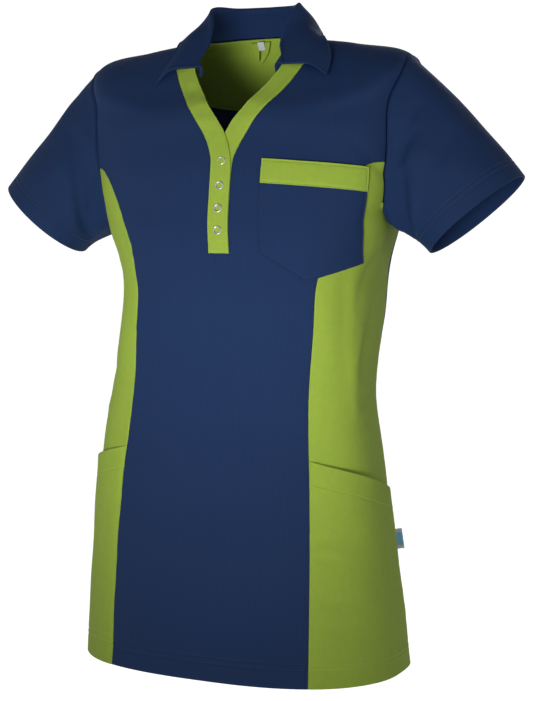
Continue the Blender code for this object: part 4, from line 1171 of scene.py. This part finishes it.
# ================================================================ chest pocket
# A five-sided patch of the navy knit on the wearer's left breast, folded under all round
# and stitched down, with a lime band folded over its mouth and tacked at both ends.
CHEST_START, CHEST_WIDTH, CHEST_POINT_SHARE = 0.047, 0.120, 0.42
CHEST_TOPS, CHEST_LOWS, CHEST_BAND = (-0.1425, -0.1520), (-0.245, -0.276, -0.256), 0.027
CHEST_OUT, CHEST_BAND_OUT, CHEST_SEWN, CHEST_BAND_SEWN = 0.0017, 0.0026, 0.0023, 0.0019
CHEST_LAP, CHEST_GAPE = 0.004, 0.0014  # how far the band laps the pocket, and its mouth gapes

run_rises, run_turns = np.arange(0, 12.01, 0.25), np.linspace(0, 120, 241)
run_table = run_of(form(run_turns[None], run_rises[:, None]), 1)


def round_turn(distance, rise):
    """Turn of the points that lie this far round the ring from centre front."""
    runs = between(run_table, rise.ravel() / 0.25)
    turns = [np.interp(gone, run, run_turns) for gone, run in zip(distance.ravel(), runs)]
    return np.array(turns).reshape(rise.shape)


def chest_places(part, z):
    turn = np.full(z.shape, 45.0)
    for _ in range(4):
        rise = height_rise(turn, z)
        turn = round_turn(CHEST_START + CHEST_WIDTH * part, rise)
    return np.stack([turn, rise], -1)


part = np.concatenate([steps(CHEST_WIDTH * CHEST_POINT_SHARE, 16, STRIP_STEPS, np.array([0.0]))[:-1],
                       CHEST_WIDTH - steps(CHEST_WIDTH * (1 - CHEST_POINT_SHARE), 22, STRIP_STEPS,
                                           np.array([0.0]))[::-1]]) / CHEST_WIDTH
mouth = np.interp(part, (0, 1), CHEST_TOPS)
foot = np.interp(part, (0, CHEST_POINT_SHARE, 1), CHEST_LOWS)
seam = mouth - CHEST_BAND
for name, low_edge, high_edge, out, thick, finish, slot, tall, area, under in (
        ("chest_pocket", foot, seam + CHEST_LAP, CHEST_OUT, 0.0013, navy, "navy_cloth", 0.107, 0.0112,
         "front_panel_cloth"),
        ("chest_pocket_band", seam, mouth, CHEST_BAND_OUT, 0.0016, lime, "lime_cloth", CHEST_BAND,
         0.00324, "chest_pocket_cloth")):
    is_band = finish is lime
    share = steps((high_edge - low_edge).mean(), 10 if is_band else 34, STRIP_STEPS, STRIP_STEPS)
    share = (share / share[-1])[:, None]
    where = chest_places(np.broadcast_to(part, (len(share), len(part))),
                         low_edge + (high_edge - low_edge) * share)
    gape = CHEST_GAPE * np.sin(np.pi * part) ** 0.6 * (0.7 + 0.3 * share if is_band else 0.4 * share ** 2)
    face = laid(where, out + gape)
    left, right, low, high = margins(face)
    edge = np.minimum(np.minimum(left, right), low)
    if is_band:
        edge = np.minimum(edge, high)
    sewn = CHEST_BAND_SEWN if is_band else CHEST_SEWN
    rounded = fold_sink(edge, thick / 2)
    crumple = 0.00022 * ripple(face * 0.45) * smoothed(0.001, 0.006, edge) * is_band
    outer = crumple + 0.9 * pucker(face, edge - sewn) - rounded - groove(edge, sewn, 0.00055)
    made = wall(name + "_cloth", face, outer, rounded - thick, 0)
    made.data.materials.append(finish)
    seats, facing = seats_on(face, outer)
    hem = row_at(STRIP_STEPS, sewn)
    runs = [(seats[hem:, column], facing[hem:, column]) for column in (hem, -1 - hem)]
    runs.append((seats[hem, hem:-hem], facing[hem, hem:-hem]))
    if is_band:
        runs.append((seats[-1 - hem, hem:-hem], facing[-1 - hem, hem:-hem]))
    threads = stitching(name + "_stitching", runs, lime_thread if is_band else navy_thread)
    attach(made, "root")
    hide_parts(name)

# ================================================================ hip pockets
# A second layer of the lime knit covers each lower side panel. Its slanting top edge is
# turned in and stitched to make the pocket's mouth; its other edges lie in the seams and
# in the hem.
HIP_OUT, HIP_SEAM_OUT, HIP_BULGE = 0.0015, 0.0003, 0.0040
HIP_SEWN, MOUTH_DEEP = 0.0250, 0.0262  # from the mouth's fold to its stitching and its cut edge
MOUTH_STEPS = np.concatenate([EDGE_STEPS, [0.0065, 0.0100, 0.0140, 0.0180, 0.0215, 0.0236, 0.0244, 0.0250,
                                           0.0256, 0.0264, 0.0290]])

part = steps(1.0, 40, EDGE_STEPS * 7, EDGE_STEPS * 7)
ends = np.interp(POCKET_TOP - POCKET_DROP * part, RINGS[:5, 0], np.arange(5))
share = steps(-HEM_Z + POCKET_TOP - POCKET_DROP / 2, 58, HEM_STEPS, MOUTH_STEPS)
hip_share, hip_part = (share / share[-1])[:, None], part
rise = hip_share * ends
front_edge, back_edge = between(FRONT_LINE, rise), between(BACK_LINE, rise)
hip_places = front_edge * (1 - part[:, None]) + back_edge * part[:, None]


def hip_pocket(name, right):
    places, part = (mirrored(hip_places), hip_part[::-1]) if right else (hip_places, hip_part)
    rough = form(places[..., 0], places[..., 1])
    edge = np.minimum(*margins(rough)[:2])
    bulge = HIP_BULGE * np.sin(np.pi * part) ** 0.7 * hip_share ** 4
    out = HIP_SEAM_OUT + (HIP_OUT - HIP_SEAM_OUT) * smoothed(0.0, 0.006, edge)
    face = laid(places, out + bulge)
    low, high = margins(face)[2:]
    rim = fold_sink(low, CLOTH) + fold_sink(high, CLOTH * 0.9)
    outer = pucker(face, edge) + 0.8 * pucker(face, high - HIP_SEWN) - seam_sink(edge) - rim
    outer = outer - groove(high, HIP_SEWN) - sum(groove(low, line) for line in HEM_LINES)
    inner = rim - CLOTH * (1 + 0.9 * turned(low, HEM_DEEP) + 0.5 * turned(high, MOUTH_DEEP))
    made = wall(name, face, outer, inner, face.shape[1] // 2)
    made.data.materials.append(lime)
    seats, facing = seats_on(face, outer)
    rows = [row_at(low[:, 0], line) for line in HEM_LINES]
    rows.append(row_at(high[:, len(part) // 2], HIP_SEWN))
    threads = stitching(name.replace("cloth", "stitching"), [(seats[row], facing[row]) for row in rows],
                        lime_thread)
    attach(made, "root")
    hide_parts(name.replace("_cloth", ""))


on_both_sides("side_pocket", hip_pocket)

# ================================================================ side label
# A folded woven tape is caught in the wearer's left back seam above the hem: white selvedges
# with a pale blue field between them, left plain.
LABEL_ENDS, LABEL_WIDTH, LABEL_CLOTH, LABEL_BEHIND = (-0.578, -0.555), 0.009, 0.0010, 0.4
FIELD_MIDDLE, FIELD_HALF = 0.0115, 0.0075   # the pale blue field's middle and half its height

rises = np.interp(np.linspace(*LABEL_ENDS, 25), RINGS[:4, 0], np.arange(4))
root = between(BACK_LINE, rises) + (LABEL_BEHIND, 0.0)
share = steps(1.0, 10, EDGE_STEPS * 25, STRIP_STEPS * 60)
base, way = form(root[:, 0], root[:, 1]), outward(root[:, 0], root[:, 1])
lean = np.gradient(base, axis=0)
bend = 0.0012 * np.sin(np.pi * share * 0.9) ** 2
face = base[:, None] + way[:, None] * (0.0005 + LABEL_WIDTH * share)[None, :, None]
face = face + unit(np.cross(unit(lean), way))[:, None] * bend[None, :, None]
_, tip, low, high = margins(face)
rounded = fold_sink(tip, LABEL_CLOTH / 2) + fold_sink(np.minimum(low, high), LABEL_CLOTH / 2)
side_label = wall("side_label_tape", face, LABEL_CLOTH / 2 - rounded, rounded - LABEL_CLOTH / 2, 0)

blue_tape = cloth_finish("blue_and_white_tape", (0.30, 0.62, 0.95), 0.0004, haze=0.04, mottle=0.06,
                         sheen=0.15, rough=0.55, bump=0.3)
tree = blue_tape.node_tree
grain = node(tree, "ShaderNodeSeparateXYZ", {0: node(tree, "ShaderNodeUVMap", uv_map="grain").outputs[0]})
off_middle = sums(tree, "ABSOLUTE", sums(tree, "SUBTRACT", grain.outputs["Y"], FIELD_MIDDLE))
border = sums(tree, "GREATER_THAN", off_middle, FIELD_HALF)
tint = tree.nodes["Principled BSDF"].inputs["Base Color"].links[0].from_socket
bands = node(tree, "ShaderNodeMix", {"Factor": border, "B": (0.78, 0.80, 0.84, 1.0)}, data_type="RGBA")
tree.links.new(tint, bands.inputs["A"])
tree.links.new(bands.outputs["Result"], tree.nodes["Principled BSDF"].inputs["Base Color"])
side_label.data.materials.append(blue_tape)
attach(side_label, "root")
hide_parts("side_label")

# ================================================================ floor, backdrop and light
# The shirt hangs over a pale floor that sweeps up all round into an evenly glowing backdrop.
# A soft box low in front lights it, with a weak one at its left and a large one up behind.
FLOOR_Z, FLOOR_FLAT, FLOOR_CURVE, WALL_TOP = -0.98, 4.0, 2.0, 5.0

bm = bmesh.new()
profile = [Vector((0.0, 0.0, FLOOR_Z)), Vector((FLOOR_FLAT, 0.0, FLOOR_Z))]
for turn in np.radians(np.arange(6, 91, 6)):
    profile.append(Vector((FLOOR_FLAT + FLOOR_CURVE * np.sin(turn), 0.0,
                           FLOOR_Z + FLOOR_CURVE * (1 - np.cos(turn)))))
profile.append(Vector((FLOOR_FLAT + FLOOR_CURVE, 0.0, WALL_TOP)))
corners = [bm.verts.new(point) for point in profile]
lines = [bm.edges.new(pair) for pair in zip(corners, corners[1:])]
bmesh.ops.spin(bm, geom=corners + lines, cent=(0, 0, 0), axis=(0, 0, 1), angle=2 * np.pi, steps=64,
               use_merge=True)
bmesh.ops.remove_doubles(bm, verts=bm.verts, dist=1e-4)
sweep = built("sweep", bm)
paper, tree, shader = blank("pale_paper")
shader.inputs["Base Color"].default_value = (0.30, 0.30, 0.30, 1.0)
shader.inputs["Roughness"].default_value = 0.9
shader.inputs["Emission Color"].default_value = (1.0, 1.0, 1.0, 1.0)
shader.inputs["Emission Strength"].default_value = 0.97
sweep.data.materials.append(paper)
sweep.visible_diffuse = False
sweep.visible_shadow = False

SoftBox = namedtuple("SoftBox", "name place aim width height power spread")
for box in (SoftBox("key_box", (0.020, -1.540, -0.700), (0.0, 0.0, -0.24), 0.6, 0.5, 1.32, 42),
            SoftBox("side_box", (2.20, -1.10, -0.20), (0.1, 0.0, -0.30), 1.4, 1.4, 1.8, 90),
            SoftBox("back_box", (-0.60, 3.00, 1.20), (0.0, 0.0, -0.32), 1.8, 1.8, 14.0, 120)):
    light = bpy.data.lights.new(box.name, "AREA")
    light.shape = "RECTANGLE"
    light.size, light.size_y = box.width, box.height
    light.energy, light.spread = box.power, np.radians(box.spread)
    lamp = bpy.data.objects.new(box.name, light)
    lamp.location = box.place
    lamp.rotation_euler = (Vector(box.aim) - lamp.location).to_track_quat("-Z", "Y").to_euler()
    bpy.context.scene.collection.objects.link(lamp)

sky = bpy.data.worlds.new("room")
sky.use_nodes = True
sky.node_tree.nodes["Background"].inputs["Color"].default_value = (1.0, 1.0, 1.0, 1.0)
sky.node_tree.nodes["Background"].inputs["Strength"].default_value = 0.14
bpy.context.scene.world = sky
